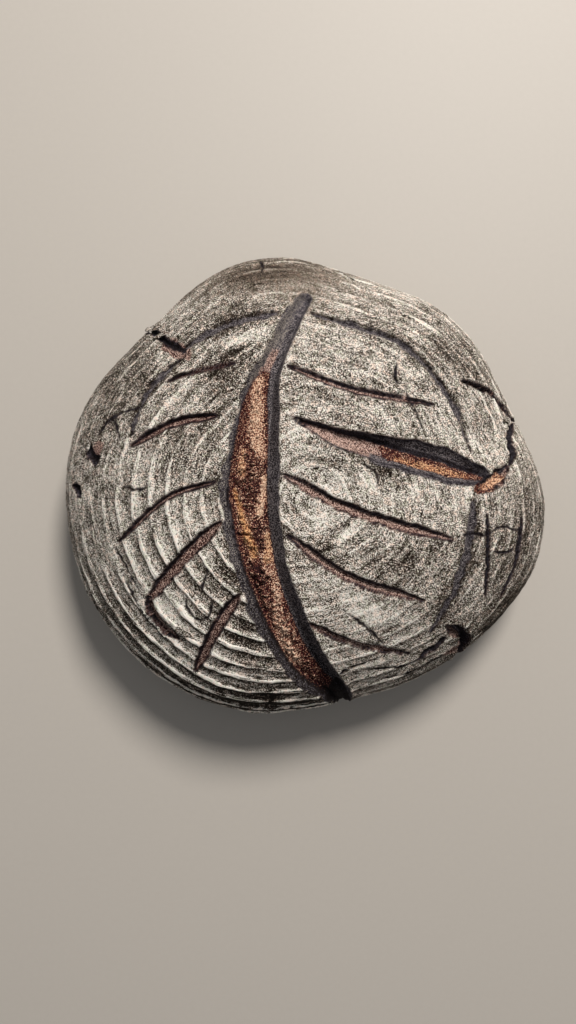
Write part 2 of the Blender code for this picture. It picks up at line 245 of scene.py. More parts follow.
# Flour and bare spots: plan place, two reaches, turn in degrees, and flour added or missing.
# The spots that take flour off the bottom and lower left rim also paint its shade
FLOUR_SPOTS = (
    (-31, 71, 10, 3.0, 15, 0.46),
    (-46, 75, 13, 4.5, 15, -0.28),
    (-40, 66, 20, 9, 15, -0.12),
    (29.5, 0, 3.2, 6.0, 35, 0.52),
    (10, -16, 15, 12, 0, 0.10),
    (28, -63, 11, 6, -25, 0.46),
    (23, -37, 24, 7, -8, -0.17),
    (12, -90, 9, 8, 0, 0.22),
    (30, 66, 26, 9, -25, 0.09),
    (98, 12, 7, 12, 10, 0.08),
    (-62, -18, 22, 26, 20, 0.10),
    (-66, -68, 22, 9, -45, 0.30),
    (-86, -52, 24, 7, -62, 0.15),
    (-30, -98, 22, 7, -12, 0.12),
    (92, 42, 6, 10, 30, 0.12),
    (37, 4.5, 4.5, 5.0, 0, -0.56),
    (18.5, -26, 9, 1.8, 52, 0.42),
    (11.5, -25, 6, 3, 50, -0.18),
    (12, -3, 8, 5, -30, 0.16),
    (42, -44, 14, 9, -20, -0.16),
    (-36, -48, 7, 14, 20, -0.30),
    (-28, -78, 17, 6.5, -62, -0.34),
    (-60, 22, 16, 12, 20, -0.10),
    (-22, 108, 30, 12, 10, -0.26),
    (-40, 58, 18, 12, 0, -0.17),
    (-60, 12, 18, 12, 10, -0.13),
    # Less flour on the bottom rim, partly as painted shade
    (-22, -111, 34, 12, 0, -0.58),
    (104, -26, 12, 22, 0, -0.12),
    (104, -68, 24, 6, 52, -0.10),
    (73, -81.5, 4, 3, 0, 0.30),
    (18, -18, 22, 14, 0, 0.05),
    (30, -2, 34, 8, -8, 0.07),
    (77, 68, 20, 14, -40, -0.29),
    (-40, 84, 26, 5, 10, -0.20),
    (-104, 26, 18, 20, 0, -0.12),
    (-94, 56, 15, 24, -38, -0.31),
    (-110, -30, 14, 40, 15, -0.10),
    (-78, 48, 9, 14, 25, -0.18),
    (68, -58, 20, 14, 55, -0.20),
    (82, -36, 10, 16, 0, -0.12),
    (112, -28, 12, 34, -12, -0.30),
    (96, -70, 26, 14, 48, -0.28),
    (66, -92, 16, 9, 35, -0.08),
    # Less flour along the bottom and lower left rim, partly as painted shade
    (40, -106, 44, 12, 20, -0.22),
    (-40, -118, 50, 10, -22, -0.28),
    (-88, -88, 40, 11, -46, -0.30),
    (-44, 40, 9, 22, -15, -0.18),
    (48, -36, 20, 10, -20, -0.15),
    (30, 8, 24, 6, -10, -0.08),
)

# Where the flour lies blotchier or more evenly than elsewhere, in the same way
BLOTCHY_SPOTS = (
    (-15, 106, 60, 16, 0, -0.68),
    (104, -68, 24, 6, 52, -0.40),
    (-2, 84, 12, 20, -15, -0.35),
    # The bottom rim is blotchier, which also deepens the painted shade between its rings
    (-45, -102, 64, 24, -25, 0.60),
    (0, -118, 40, 14, 0, 0.45),
    (-42, 68, 22, 10, 15, 0.10),
    (108, 0, 16, 60, 0, -0.15),
    (-60, 36, 26, 30, 0, -0.10),
    (20, -20, 60, 60, 0, 0.12),
)

# How much flour a ring holds, from its crest round to the next: place and amount. The
# deep dip just outside the crest is painted shade under the crest
RING_FLOUR_AND_SHADE = (
    (0.00, 1.0), (0.05, 0.95), (0.12, 0.05), (0.22, 0.15), (0.45, 0.34), (0.80, 0.42),
    (0.90, 0.85), (1.00, 1.0),
)

# Bearings where the rings are clearest: strong on the near left side, weak on the far right rim
RINGS_NEAR_LEFT = math.radians(228)
RINGS_FAR_RIGHT = math.radians(48)

# Points along a side of the crust's grid, the share of them above the widest line, and the
# steps from the foot's edge to the middle of the underside
GRID = 304
RIM_SHARE = 0.88
BASE_RINGS = 4
# Share of its turn that a cut keeps at each step down the rim
DRIFT_KEPT = 0.75
# How far the grid is drawn to the cuts' lips, and from how far
FOCUS = 0.55
FOCUS_REACH = 3.4 * MM
# How far from their middles the cuts are looked for
SPINE_REACH = 24 * MM
VEIN_REACH = 16 * MM
FOCUSED_REACH = 12 * MM
# What the whole way along a burst counts for, next to distances across it
SPINE_SPAN = 120 * MM
VEIN_SPAN = 60 * MM
# The thin line of painted shade just inside a cut's lip: place and half width
LIP_LINE_AT = 0.15 * MM
LIP_LINE_WIDTH = 0.22 * MM
# The finishes keep the distance to their edge up to here
EDGE_LIMIT = 4 * MM
# Laid over the crust in this order
FINISHES = ("skin", "raw", "wall", "crumb", "painted_shade")
# Length of one cell of a crumb strip's grid
CRUMB_CELL = 0.42 * MM
# From the middle of the stage's floor to its edges, in metres
FLOOR_REACH = 3.0
# How strongly the specks of the crumb lighten or darken it, and what is taken off again
CRUMB_SPECKS = 4.4
CRUMB_OFFSET = 2.23


def linear(hex_colour):
    """Linear RGBA of an sRGB hex colour."""
    channels = np.array([int(hex_colour[i : i + 2], 16) for i in (1, 3, 5)]) / 255
    low = channels / 12.92
    high = ((channels + 0.055) / 1.055) ** 2.4
    return (*np.where(channels <= 0.04045, low, high).tolist(), 1.0)


def length_setting(name, description, default_mm):
    """A length in metres whose default is given in millimetres."""
    return FloatProperty(
        name=name, description=description, default=default_mm * MM, min=0, unit="LENGTH",
        precision=5,
    )


def colour_setting(name, description, hex_colour):
    """A colour whose default is given as sRGB hex."""
    return FloatVectorProperty(
        name=name, description=description, default=linear(hex_colour), size=4, min=0, max=1,
        subtype="COLOR",
    )


# Near black of the painted shade in cut bottoms, cracks, grooves and under the lips
PAINTED_SHADE_BLACK = linear("#120b0a")
# Bran greener and redder than the rest, by place in the noise
HUES = ((0.36, linear("#f0f2e7")), (0.50, linear("#ffffff")), (0.64, linear("#fff2ea")))


class CrustSettings(bpy.types.PropertyGroup):
    """Sizes and colours of the floury crust."""

    ring_relief: length_setting("Ring relief", "Height of the basket rings", 1.15)
    lump_relief: length_setting("Lump relief", "Height of the broad lumps", 0.55)
    grain_relief: length_setting("Grain relief", "Height of the rough flour grain", 0.16)
    grain_size: length_setting("Grain size", "Width of one grain of flour and bran", 0.5)
    flour: FloatProperty(
        name="Flour", description="How floury the crust is", default=0.5, min=0, max=1,
        subtype="FACTOR",
    )
    char: colour_setting("Char", "Darkest specks of the crust", "#17100b")
    crust: colour_setting("Crust", "Baked rye crust without flour", "#5b4e44")
    dusted: colour_setting("Dusted", "Crust under a thin dust of flour", "#9d9388")
    flour_white: colour_setting("Flour", "Thick flour", "#f8f2e9")
    skin: colour_setting("Skin", "Stretched skin with no flour", "#4e4950")


class CutSettings(bpy.types.PropertyGroup):
    """Sizes and colours of the cuts and the crumb."""

    spine_depth: length_setting("Middle cut depth", "Depth of the burst middle cut", 7.0)
    vein_depth: length_setting("Wide vein depth", "Depth of the widest side cut", 4.6)
    crumb_relief: length_setting("Crumb relief", "Height of the torn crumb", 2.5)
    crumb_size: length_setting("Crumb size", "Width of one torn piece of crumb", 2.6)
    # The wall colours are a cut's dark flourless skin and partly its painted shade
    wall: colour_setting("Cut wall", "Steep wall of a cut", "#38343b")
    wall_light: colour_setting("Wall lights", "Lightest specks of a wall", "#8f8685")
    raw: colour_setting("Inner dough", "Browned dough inside a cut", "#6b443a")
    raw_light: colour_setting("Dough lights", "Lightest specks of the inner dough", "#cfb2a4")
    # Creases take the pit colour and points the tip colour, as painted shade and light
    crumb_pit: colour_setting("Crumb pits", "Deepest holes of the crumb", "#210c0e")
    crumb_brown: colour_setting("Crumb brown", "Toasted crumb", "#70322f")
    crumb_tan: colour_setting("Crumb tan", "Open crumb", "#b78566")
    crumb_tip: colour_setting("Crumb tips", "Palest crumb tips", "#f0d3b9")
    golden: colour_setting("Golden crumb", "What the most golden crumb keeps", "#f4cc84")


class StageSettings(bpy.types.PropertyGroup):
    """The floor, light and camera."""

    camera_height: length_setting("Camera height", "Height of the camera", 446)
    camera_x: FloatProperty(
        name="Camera X", description="Place along X", default=-9.2 * MM, unit="LENGTH"
    )
    camera_y: FloatProperty(
        name="Camera Y", description="Place along Y", default=-14.6 * MM, unit="LENGTH"
    )
    view_height: FloatProperty(
        name="View height", description="Angle seen from bottom to top",
        default=math.radians(67), subtype="ANGLE", unit="ROTATION",
    )
    key_power: FloatProperty(
        name="Key light", description="Power of the big soft light", default=41, unit="POWER"
    )
    key_size: length_setting("Key size", "Width of the big soft light", 600)
    key_place: FloatVectorProperty(
        name="Key place", description="Place of the big soft light", default=(0.44, 1.24, 1.44),
        subtype="TRANSLATION",
    )
    key_colour: colour_setting("Key colour", "Colour of the big soft light", "#fffcf8")
    floor: colour_setting("Floor", "Pale floor", "#c2bab0")
    sky: colour_setting("Sky", "Even light from all round", "#e9ecf0")
    sky_strength: FloatProperty(
        name="Sky strength", description="Strength of the even light", default=0.23, min=0
    )


class LoafSettings(bpy.types.PropertyGroup):
    """All settings of the loaf."""

    crust: PointerProperty(type=CrustSettings)
    cuts: PointerProperty(type=CutSettings)
    stage: PointerProperty(type=StageSettings)


def widest_radius(bearing):
    """Radius of the widest outline: the mean plus a cosine wave for each set of lobes."""
    radius = MEAN_RADIUS + 0 * bearing
    for count, size, peak in LOBES:
        radius = radius + size * np.cos(count * (bearing - math.radians(peak)))
    return radius


def outline_middle():
    """Middle of the outline's extents, which the origin stands under."""
    bearing = np.linspace(0, 2 * math.pi, 3600)
    x = widest_radius(bearing) * np.cos(bearing)
    y = widest_radius(bearing) * np.sin(bearing)
    return np.array(((x.min() + x.max()) / 2, (y.min() + y.max()) / 2))


def side_profile():
    """Crown to foot: distance walked, share of the widest radius, height.

    Above the waist the height falls as (1 - share ** squareness) ** power, and below it a
    quarter ellipse turns in to the flat foot.
    """
    upper = np.sin(np.linspace(0, math.pi / 2, PROFILE_POINTS))
    upper_height = (LOAF_HEIGHT - WAIST_HEIGHT) * (1 - upper**DOME_SQUARENESS) ** DOME_POWER
    turn = np.linspace(0, math.pi / 2, PROFILE_POINTS // 4)[1:]
    lower = FOOT_SHARE + (1 - FOOT_SHARE) * np.cos(turn)
    share = np.concatenate((upper, lower))
    height = np.concatenate((WAIST_HEIGHT + upper_height, WAIST_HEIGHT * (1 - np.sin(turn))))
    step = np.hypot(np.diff(share) * MEAN_RADIUS, np.diff(height))
    return np.concatenate(((0,), np.cumsum(step))), share, height


MIDDLE = outline_middle()
WALKED, SHARE, HEIGHT = side_profile()
WAIST_WALK = WALKED[PROFILE_POINTS - 1]
FOOT_WALK = WALKED[-1]
RING_PITCH = WAIST_WALK / RINGS_TO_WAIST


def smoothstep(low, high, value):
    """Rises from 0 to 1 between low and high, as 3 t squared less 2 t cubed."""
    t = np.clip((value - low) / (high - low), 0, 1)
    return t * t * (3 - 2 * t)


def lattice_noise(points, size, seed):
    """Smooth random field from -1 to 1.

    Each corner of a cubic lattice of the given size has a random value, and a point takes
    the blend of its cell's eight corners by the smoothstep of its share of the cell.
    """
    cell = points / size + 512.37
    low = np.floor(cell).astype(np.int64)
    share = cell - low
    share = share * share * (3 - 2 * share)
    table = np.random.default_rng(seed).uniform(-1, 1, 65536)
    total = np.zeros(points.shape[:-1])
    for corner in range(8):
        offset = np.array((corner & 1, corner >> 1 & 1, corner >> 2))
        at = low + offset
        key = at[..., 0] * 73856093 ^ at[..., 1] * 19349663 ^ at[..., 2] * 83492791
        total += np.prod(np.where(offset, share, 1 - share), axis=-1) * table[key & 65535]
    return total


def swelling(x, y):
    """Height that the broad swellings add: a bell curve round each place."""
    total = 0 * x
    for at_x, at_y, reach, rise in SWELLINGS:
        away = ((x - at_x * MM) ** 2 + (y - at_y * MM) ** 2) / (reach * MM) ** 2
        total = total + rise * MM * np.exp(-away)
    return total


def dough_point(walk, bearing):
    """The smooth dough surface: walk is the distance from the crown, down to the foot.

    A ring at one distance is the outline shrunk by its share, and its middle slides from the
    crown towards the middle of the loaf.
    """
    share = np.interp(walk, WALKED, SHARE)
    height = np.interp(walk, WALKED, HEIGHT)
    radius = widest_radius(bearing)
    x = CROWN_AT[0] * (1 - share) + share * (radius * np.cos(bearing) - MIDDLE[0])
    y = CROWN_AT[1] * (1 - share) + share * (radius * np.sin(bearing) - MIDDLE[1])
    fade = np.clip((height - WAIST_HEIGHT) / (LOAF_HEIGHT - WAIST_HEIGHT) * 3, 0, 1)
    return np.stack((x, y, height + fade * swelling(x, y)), axis=-1)


def dough_normal(walk, bearing):
    """Outward normal of the dough, from two short steps on the surface."""
    small_walk, small_turn = 0.5 * MM, 0.004
    inner = np.clip(walk, small_walk * 2, None)
    down = dough_point(inner + small_walk, bearing) - dough_point(inner - small_walk, bearing)
    around = dough_point(inner, bearing + small_turn) - dough_point(inner, bearing - small_turn)
    normal = np.cross(down, around)
    return normal / np.linalg.norm(normal, axis=-1, keepdims=True)


def find_on_dough(x, y):
    """The walk and bearing whose surface points lie at plan places inside the outline."""
    share = np.full(x.shape, 0.5)
    for _ in range(80):
        off_x = x - CROWN_AT[0] * (1 - share) + MIDDLE[0] * share
        off_y = y - CROWN_AT[1] * (1 - share) + MIDDLE[1] * share
        bearing = np.arctan2(off_y, off_x)
        radius = widest_radius(bearing)
        share = np.minimum(0.5 * share + 0.5 * np.hypot(off_x, off_y) / radius, 1)
    return np.interp(share, SHARE[:PROFILE_POINTS], WALKED[:PROFILE_POINTS]), bearing


def smooth_path(points, step):
    """Points about a step apart along a smooth curve through the given ones."""
    given = np.array(points, float)
    padded = np.vstack((2 * given[0] - given[1], given, 2 * given[-1] - given[-2]))
    found = [given[:1]]
    for a, b, c, d in zip(padded, padded[1:], padded[2:], padded[3:]):
        pieces = max(1, round(np.linalg.norm((c - b)[:2]) / step))
        t = (np.arange(1, pieces + 1) / pieces)[:, None]
        curve = 2 * b + (c - a) * t + (2 * a - 5 * b + 4 * c - d) * t**2
        found.append(0.5 * (curve + (3 * b - a - 3 * c + d) * t**3))
    return np.concatenate(found)


Trail = namedtuple("Trail", "point normal side share extra")


def trail_on_dough(path, over_rim=0.0, step=2.0):
    """A cut's way over the dough: points, normals, directions to the left, share of the way.

    The path's third values, if any, are carried along as extra. Past the path's end the
    trail goes on down the rim by a share of the way from the waist to the foot, and its turn
    round the loaf dies away step by step.
    """
    way = smooth_path(path, step)
    walk, bearing = find_on_dough(way[:, 0] * MM, way[:, 1] * MM)
    extra = way[:, 2] if way.shape[1] > 2 else np.ones(len(way))
    if over_rim:
        reach = WAIST_WALK + over_rim * (FOOT_WALK - WAIST_WALK)
        more = max(1, round((reach - walk[-1]) / (step * MM)))
        shares = np.arange(1, more + 1) / more
        walk = np.append(walk, walk[-1] + (reach - walk[-1]) * shares)
        drift = (bearing[-1] - bearing[-2]) * np.cumsum(DRIFT_KEPT ** np.arange(1, more + 1))
        bearing = np.append(bearing, bearing[-1] + drift)
        extra = np.append(extra, extra[-1] * (1 - 0.85 * shares))
    point = dough_point(walk, bearing)
    normal = dough_normal(walk, bearing)
    side = np.cross(normal, np.gradient(point, axis=0))
    side /= np.linalg.norm(side, axis=1, keepdims=True)
    return Trail(point, normal, side, np.linspace(0, 1, len(point)), extra)


def place_by_trail(points, trail, reach):
    """For points within reach: their indices, distance to the left of the trail, and share.

    The nearest place on each straight piece of the trail is found at once for all points,
    and the nearest piece of all gives the distance, whose sign is the side it lies on.
    """
    low, high = trail.point.min(axis=0) - reach, trail.point.max(axis=0) + reach
    near = np.flatnonzero(((points > low) & (points < high)).all(axis=1))
    step = np.diff(trail.point, axis=0)
    offset = points[near][:, None] - trail.point[:-1]
    share = np.clip((offset * step).sum(axis=2) / (step**2).sum(axis=1), 0, 1)
    away = offset - share[..., None] * step
    distance = np.linalg.norm(away, axis=2)
    piece = distance.argmin(axis=1)
    row = np.arange(len(near))
    left = np.sign((away[row, piece] * trail.side[piece]).sum(axis=1))
    along = (piece + share[row, piece]) / len(step)
    close = distance[row, piece] < reach
    return near[close], (left * distance[row, piece])[close], along[close]


def disk_grid(count):
    """Square grid bent into a disk: share of the disk's radius, and bearing.

    Concentric squares become concentric circles, and a point's place along its square's side
    becomes the angle, so the grid keeps even cells.
    """
    a, b = np.meshgrid(np.linspace(-1, 1, count), np.linspace(-1, 1, count))
    flat = np.abs(a) > np.abs(b)
    safe_a = np.where(a == 0, 1, a)
    safe_b = np.where(b == 0, 1, b)
    radius = np.where(flat, a, b)
    turn = np.where(flat, b / safe_a * math.pi / 4, math.pi / 2 - a / safe_b * math.pi / 4)
    bearing = np.where(radius < 0, turn + math.pi, turn)
    return np.abs(radius).ravel(), bearing.ravel()


def walk_of(share):
    """Distance from the crown for a share of the disk: even to the waist, then quicker."""
    upper = share / RIM_SHARE * WAIST_WALK
    lower = WAIST_WALK + (share - RIM_SHARE) / (1 - RIM_SHARE) * (FOOT_WALK - WAIST_WALK)
    return np.where(share < RIM_SHARE, upper, lower)


def all_trails():
    """Every cut's trail, the bursts first."""
    trails = {"spine": trail_on_dough(SPINE, SPINE_OVER_RIM)}
    trails["wide_vein"] = trail_on_dough(WIDE_VEIN)
    for name, cut in (VEINS | LEAF_EDGES | TEARS).items():
        trails[name] = trail_on_dough(cut.path, cut.over_rim)
    for number, path in enumerate(HAIRLINES):
        trails[f"hairline_{number}"] = trail_on_dough(path)
    return trails


def carried(trail, values, along):
    """A trail's vectors at shares of the way along it."""
    return np.stack([np.interp(along, trail.share, part) for part in values.T], axis=-1)


def half_width_at(trail, along):
    """A burst's half width at shares of the way along it."""
    return np.interp(along, trail.share, trail.extra) * MM


def focused(walk, bearing, trails):
    """The same grid drawn together at the cuts' lips, so that edges come out sharp.

    On the crust laid flat (walk, bearing), a point moves towards the nearest lip by a share
    of its distance that fades as a bell curve.
    """
    points = dough_point(walk, bearing)
    pull = np.zeros((len(walk), 2))
    nearest = np.full(len(walk), np.inf)
    for name, trail in trails.items():
        reach = SPINE_REACH if name == "spine" else FOCUSED_REACH
        near, across, along = place_by_trail(points, trail, reach)
        lip = np.abs(across)
        if name in ("spine", "wide_vein"):
            lip = lip - half_width_at(trail, along)
        side = carried(trail, trail.side, along)[:, :2]
        side /= np.linalg.norm(side, axis=1, keepdims=True)
        move = -np.sign(across) * lip * FOCUS * np.exp(-((lip / FOCUS_REACH) ** 2))
        closer = np.abs(lip) < nearest[near]
        chosen = near[closer]
        nearest[chosen] = np.abs(lip[closer])
        pull[chosen] = side[closer] * move[closer][:, None]
    fade = smoothstep(0, 12 * MM, WAIST_WALK - walk)
    flat = walk[:, None] * np.stack((np.cos(bearing), np.sin(bearing)), axis=1)
    flat += pull * fade[:, None]
    moved = walk < WAIST_WALK
    return (
        np.where(moved, np.hypot(flat[:, 0], flat[:, 1]), walk),
        np.where(moved, np.arctan2(flat[:, 1], flat[:, 0]), bearing),
    )


def crumb_ribbons(points):
    """How pale and how golden the torn crumb is: a bell across each ribbon, the palest wins."""
    pale = np.full(points.shape[:-1], CRUMB_BASE_PALENESS)
    golden = np.zeros(points.shape[:-1])
    flat = points[..., :2].reshape(-1, 2)
    for ribbon in CRUMB_RIBBONS:
        way = smooth_path(ribbon.path, 2.0)
        low, high = way[:, :2].min(axis=0) * MM, way[:, :2].max(axis=0) * MM
        near = np.flatnonzero(((flat > low - 12 * MM) & (flat < high + 12 * MM)).all(axis=1))
        away = np.linalg.norm(flat[near][:, None] - way[:, :2] * MM, axis=2)
        nearest = away.argmin(axis=1)
        bell = np.exp(-((away[np.arange(len(near)), nearest] / (way[nearest, 2] * MM)) ** 4))
        level = way[nearest, 3] * bell
        won = level > pale.ravel()[near]
        pale.ravel()[near[won]] = level[won]
        golden.ravel()[near[won]] = ribbon.golden * bell[won]
    return pale, golden


def cut_taper(along):
    """How full a cut is along its way: thin at both ends."""
    return 0.3 + 0.7 * np.minimum(1, np.minimum(along / 0.16, (1 - along) / 0.22)) ** 0.7


def trough(across, lean):
    """Depth share across a cut from -1 to 1: two parabolas that meet at the lean."""
    rise = np.where(across < lean, (across + 1) / (lean + 1), (1 - across) / (1 - lean))
    rise = np.clip(rise, 0, 1)
    return 1 - (1 - rise) ** 2


class Crust:
    """The crust's points with their depth and finish, gathered cut by cut.

    The plan place x, y is in millimetres, rings_out counts rings from the crown, and to_waist
    and to_foot are shares of the way to the widest line and from there to the foot.
    """

    def __init__(self, walk, bearing):
        self.bearing = bearing
        self.base = dough_point(walk, bearing)
        self.normal = dough_normal(walk, bearing)
        self.x, self.y = self.base[:, 0] / MM, self.base[:, 1] / MM
        self.rings_out = walk / RING_PITCH
        self.to_waist = walk / WAIST_WALK
        self.to_foot = (walk - WAIST_WALK) / (FOOT_WALK - WAIST_WALK)
        self.depth, self.lip, self.dusty, self.worn = np.zeros((4, len(walk)))
        self.finish = {name: np.full(len(walk), -EDGE_LIMIT) for name in FINISHES}

    def noise(self, size, seed, where=slice(None)):
        """Smooth noise of a size in millimetres, at some of the points or at all."""
        return lattice_noise(self.base[where], size * MM, seed)

    def mark(self, name, where, inside):
        """Widens a finish to places, given how far each lies inside its edge."""
        known = self.finish[name]
        known[where] = np.maximum(known[where], np.clip(inside, -EDGE_LIMIT, EDGE_LIMIT))

    def line(self, name, where, away, width):
        """Marks a line of a finish, given how far away its middle is and its half width."""
        self.mark(name, where, width - np.abs(away))

    def dig(self, where, depth):
        """Lowers places to a depth, unless they are deeper already."""
        self.depth[where] = np.maximum(self.depth[where], depth)

    def raise_lip(self, where, height):
        """Raises places by a height, unless a higher lip is there already."""
        self.lip[where] = np.maximum(self.lip[where], height)

    def dust(self, where, chosen, amount):
        """Sets how dusty the chosen ones of some places are."""
        self.dusty[where] = np.where(chosen, amount, self.dusty[where])

    def narrow(self, trail, cut, kind):
        """Cuts a knife cut, a leaf edge, a tear or a hairline crack.

        The share q goes from -1 to 1 across it. Noise varies its width and its course, its
        bottom is a trough, and a low lip stands beside it.
        """
        reach = 3 * cut.half_width * MM + 4 * MM
        near, across, along = place_by_trail(self.base, trail, reach)
        wobble, fine = self.noise(3.2, 5, near), self.noise(1.3, 6, near)
        taper = cut_taper(along)
        half = cut.half_width * MM * taper * (1 + (0.10 + cut.ragged) * wobble)
        across = across + (0.22 + 0.8 * cut.ragged) * MM * fine
        q = across / half
        deep = cut.depth * MM * taper * (1 + 0.15 * wobble)
        self.dig(near, deep * trough(q, cut.lean))
        self.raise_lip(near, np.exp(-(((np.abs(q) - 1.35) / 0.45) ** 2)) * 0.10 * deep)
        inside = half - np.abs(across)
        if kind == "edge":
            patchy = self.noise(8, 12, near)
            # The groove is laid in the dark wall colour, partly as its painted shade, and in bare
            # skin
            self.mark("wall", near, inside + (0.8 * patchy - 1.2) * MM)
            self.mark("skin", near, inside + (1.9 * patchy - 1.0) * MM)
            self.worn[near] = np.maximum(self.worn[near], 0.28 * np.exp(-q * q / 2.2))
            self.dust(near, inside > -1 * MM, cut.dusty)
            # A near-black line of painted shade along the groove's steep side
            line = (q - 0.75 * np.sign(cut.lean)) * half
            self.line("painted_shade", near, line, (0.22 + 0.4 * fine) * MM)
            return
        if kind == "hairline":
            # Its inside is painted near black, as the crack's shade
            self.mark("painted_shade", near, inside - 0.1 * MM)
            return
        crumbled = np.where(q * cut.lean < 0, 0.9 * fine, 0.2) * MM
        self.mark("raw", near, inside + crumbled)
        self.dust(near, inside > 0, cut.dusty)
        steep = np.sign(cut.lean) * q if cut.lean else 1 - np.abs(q)
        start, darker = (abs(cut.lean), 0.12) if kind == "vein" else (-0.1, 0.5)
        # The steep side takes the dark wall colour, partly as its painted shade, and its deepest
        # part the near black of painted shade
        self.mark("wall", near, np.minimum(inside + 0.1 * MM, (steep - start) * half))
        self.mark("painted_shade", near, np.minimum(inside, (steep - start - darker) * half))
        # Painted shade just inside the lip: a thin dark line, then a wider near-black one
        self.line("wall", near, inside - LIP_LINE_AT, LIP_LINE_WIDTH)
        self.line("painted_shade", near, inside - 0.3 * MM, (0.38 + 0.45 * fine) * MM)


def spine_floor(q, half, along, settings):
    """Depth of the wide cut: its section across, deeper where it is wider, and a closed end."""
    widest = max(half_width for _, _, half_width in SPINE) * MM
    deep = settings.spine_depth - SPINE_SHALLOW * MM
    deep = SPINE_SHALLOW * MM + deep * np.minimum(1, half / (0.75 * widest))
    place, depth = np.array(SPINE_SECTION).T
    return deep * np.interp(q, place, depth) * smoothstep(1.0, 0.95, along)


def vein_lean(along):
    """Where the widest vein's bottom lies: high up at its start, near the middle later."""
    return np.interp(along, (0.3, 0.6), (0.72, 0.2))


def vein_floor(q, half, along, settings):
    """Depth of the widest vein: a trough with its bottom nearer the upper wall."""
    deep = settings.vein_depth - WIDE_VEIN_SHALLOW * MM
    deep = WIDE_VEIN_SHALLOW * MM + deep * np.minimum(1, half / (5.5 * MM))
    return deep * trough(q, vein_lean(along))


def cut_spine(crust, trail, settings):
    """Opens the wide cut: skin on its left, crumb on its floor, a steep wall on its right.

    The share q goes from -1 at its left lip to 1 at its right one.
    """
    near, across, along = place_by_trail(crust.base, trail, SPINE_REACH)
    fine, ragged = crust.noise(1.6, 8, near), crust.noise(4, 13, near)
    half = half_width_at(trail, along) * (1 + 0.05 * crust.noise(6, 7, near))
    inside = half - np.abs(across)
    q = (across + 0.16 * MM * fine) / half
    crust.dig(near, spine_floor(q, half, along, settings))
    lip = 0.7 * MM * np.exp(-(((q - 1.12) / 0.16) ** 2))
    lip += 0.3 * MM * np.exp(-(((q + 1.15) / 0.2) ** 2))
    crust.raise_lip(near, lip * smoothstep(0.02, 0.15, along))
    at, left, right = np.array(SPINE_CRUMB).T
    left, right = np.interp(along, at, left), np.interp(along, at, right)

    crust.mark("skin", near, inside + np.where(q < 0, 1.5 * ragged, 0.4) * MM)
    # The right wall takes the dark wall colour, partly as its painted shade
    crust.mark("wall", near, np.minimum(inside, (q - right) * half))
    # The deep pocket at the far end is painted near black, as its shade
    pocket = np.minimum(inside - 0.2 * half, (along - 0.86) * SPINE_SPAN)
    crust.mark("painted_shade", near, pocket + 1.6 * MM * ragged)
    raw = np.minimum((0.5 - np.abs(q + 0.1)) * half, (0.23 - along) * SPINE_SPAN)
    crust.mark("raw", near, np.minimum(raw, (along - 0.12) * SPINE_SPAN) + 1.2 * MM * ragged)
    # A near-black line of painted shade where the left skin overhangs the crumb
    groove = (0.5 + 0.6 * fine) * MM * smoothstep(0.24, 0.34, along)
    groove = groove - np.abs(q - left + 0.05) * half
    crust.mark("painted_shade", near, np.minimum(groove, inside))
    started = (along - SPINE_CRUMB_START) * SPINE_SPAN
    crumb = np.minimum(np.minimum(q - left, right - q) * half, started) + 0.5 * MM
    crust.mark("crumb", near, np.minimum(crumb, (SPINE_CRUMB_END - along) * 0.5 * SPINE_SPAN))

    bare = -0.4 - 0.9 * smoothstep(0.48, 0.72, along) - 0.3 * smoothstep(0.2, 0.1, along)
    crust.dust(near, inside > -1.5 * MM, bare)
    crust.dust(near, raw > -2 * MM, 0.4)
    # The right wall gets almost no dust, which paints it darker as its shade, and darker still
    # further along
    crust.dust(near, q > right, 0.05 - 0.65 * smoothstep(0.60, 0.82, along))


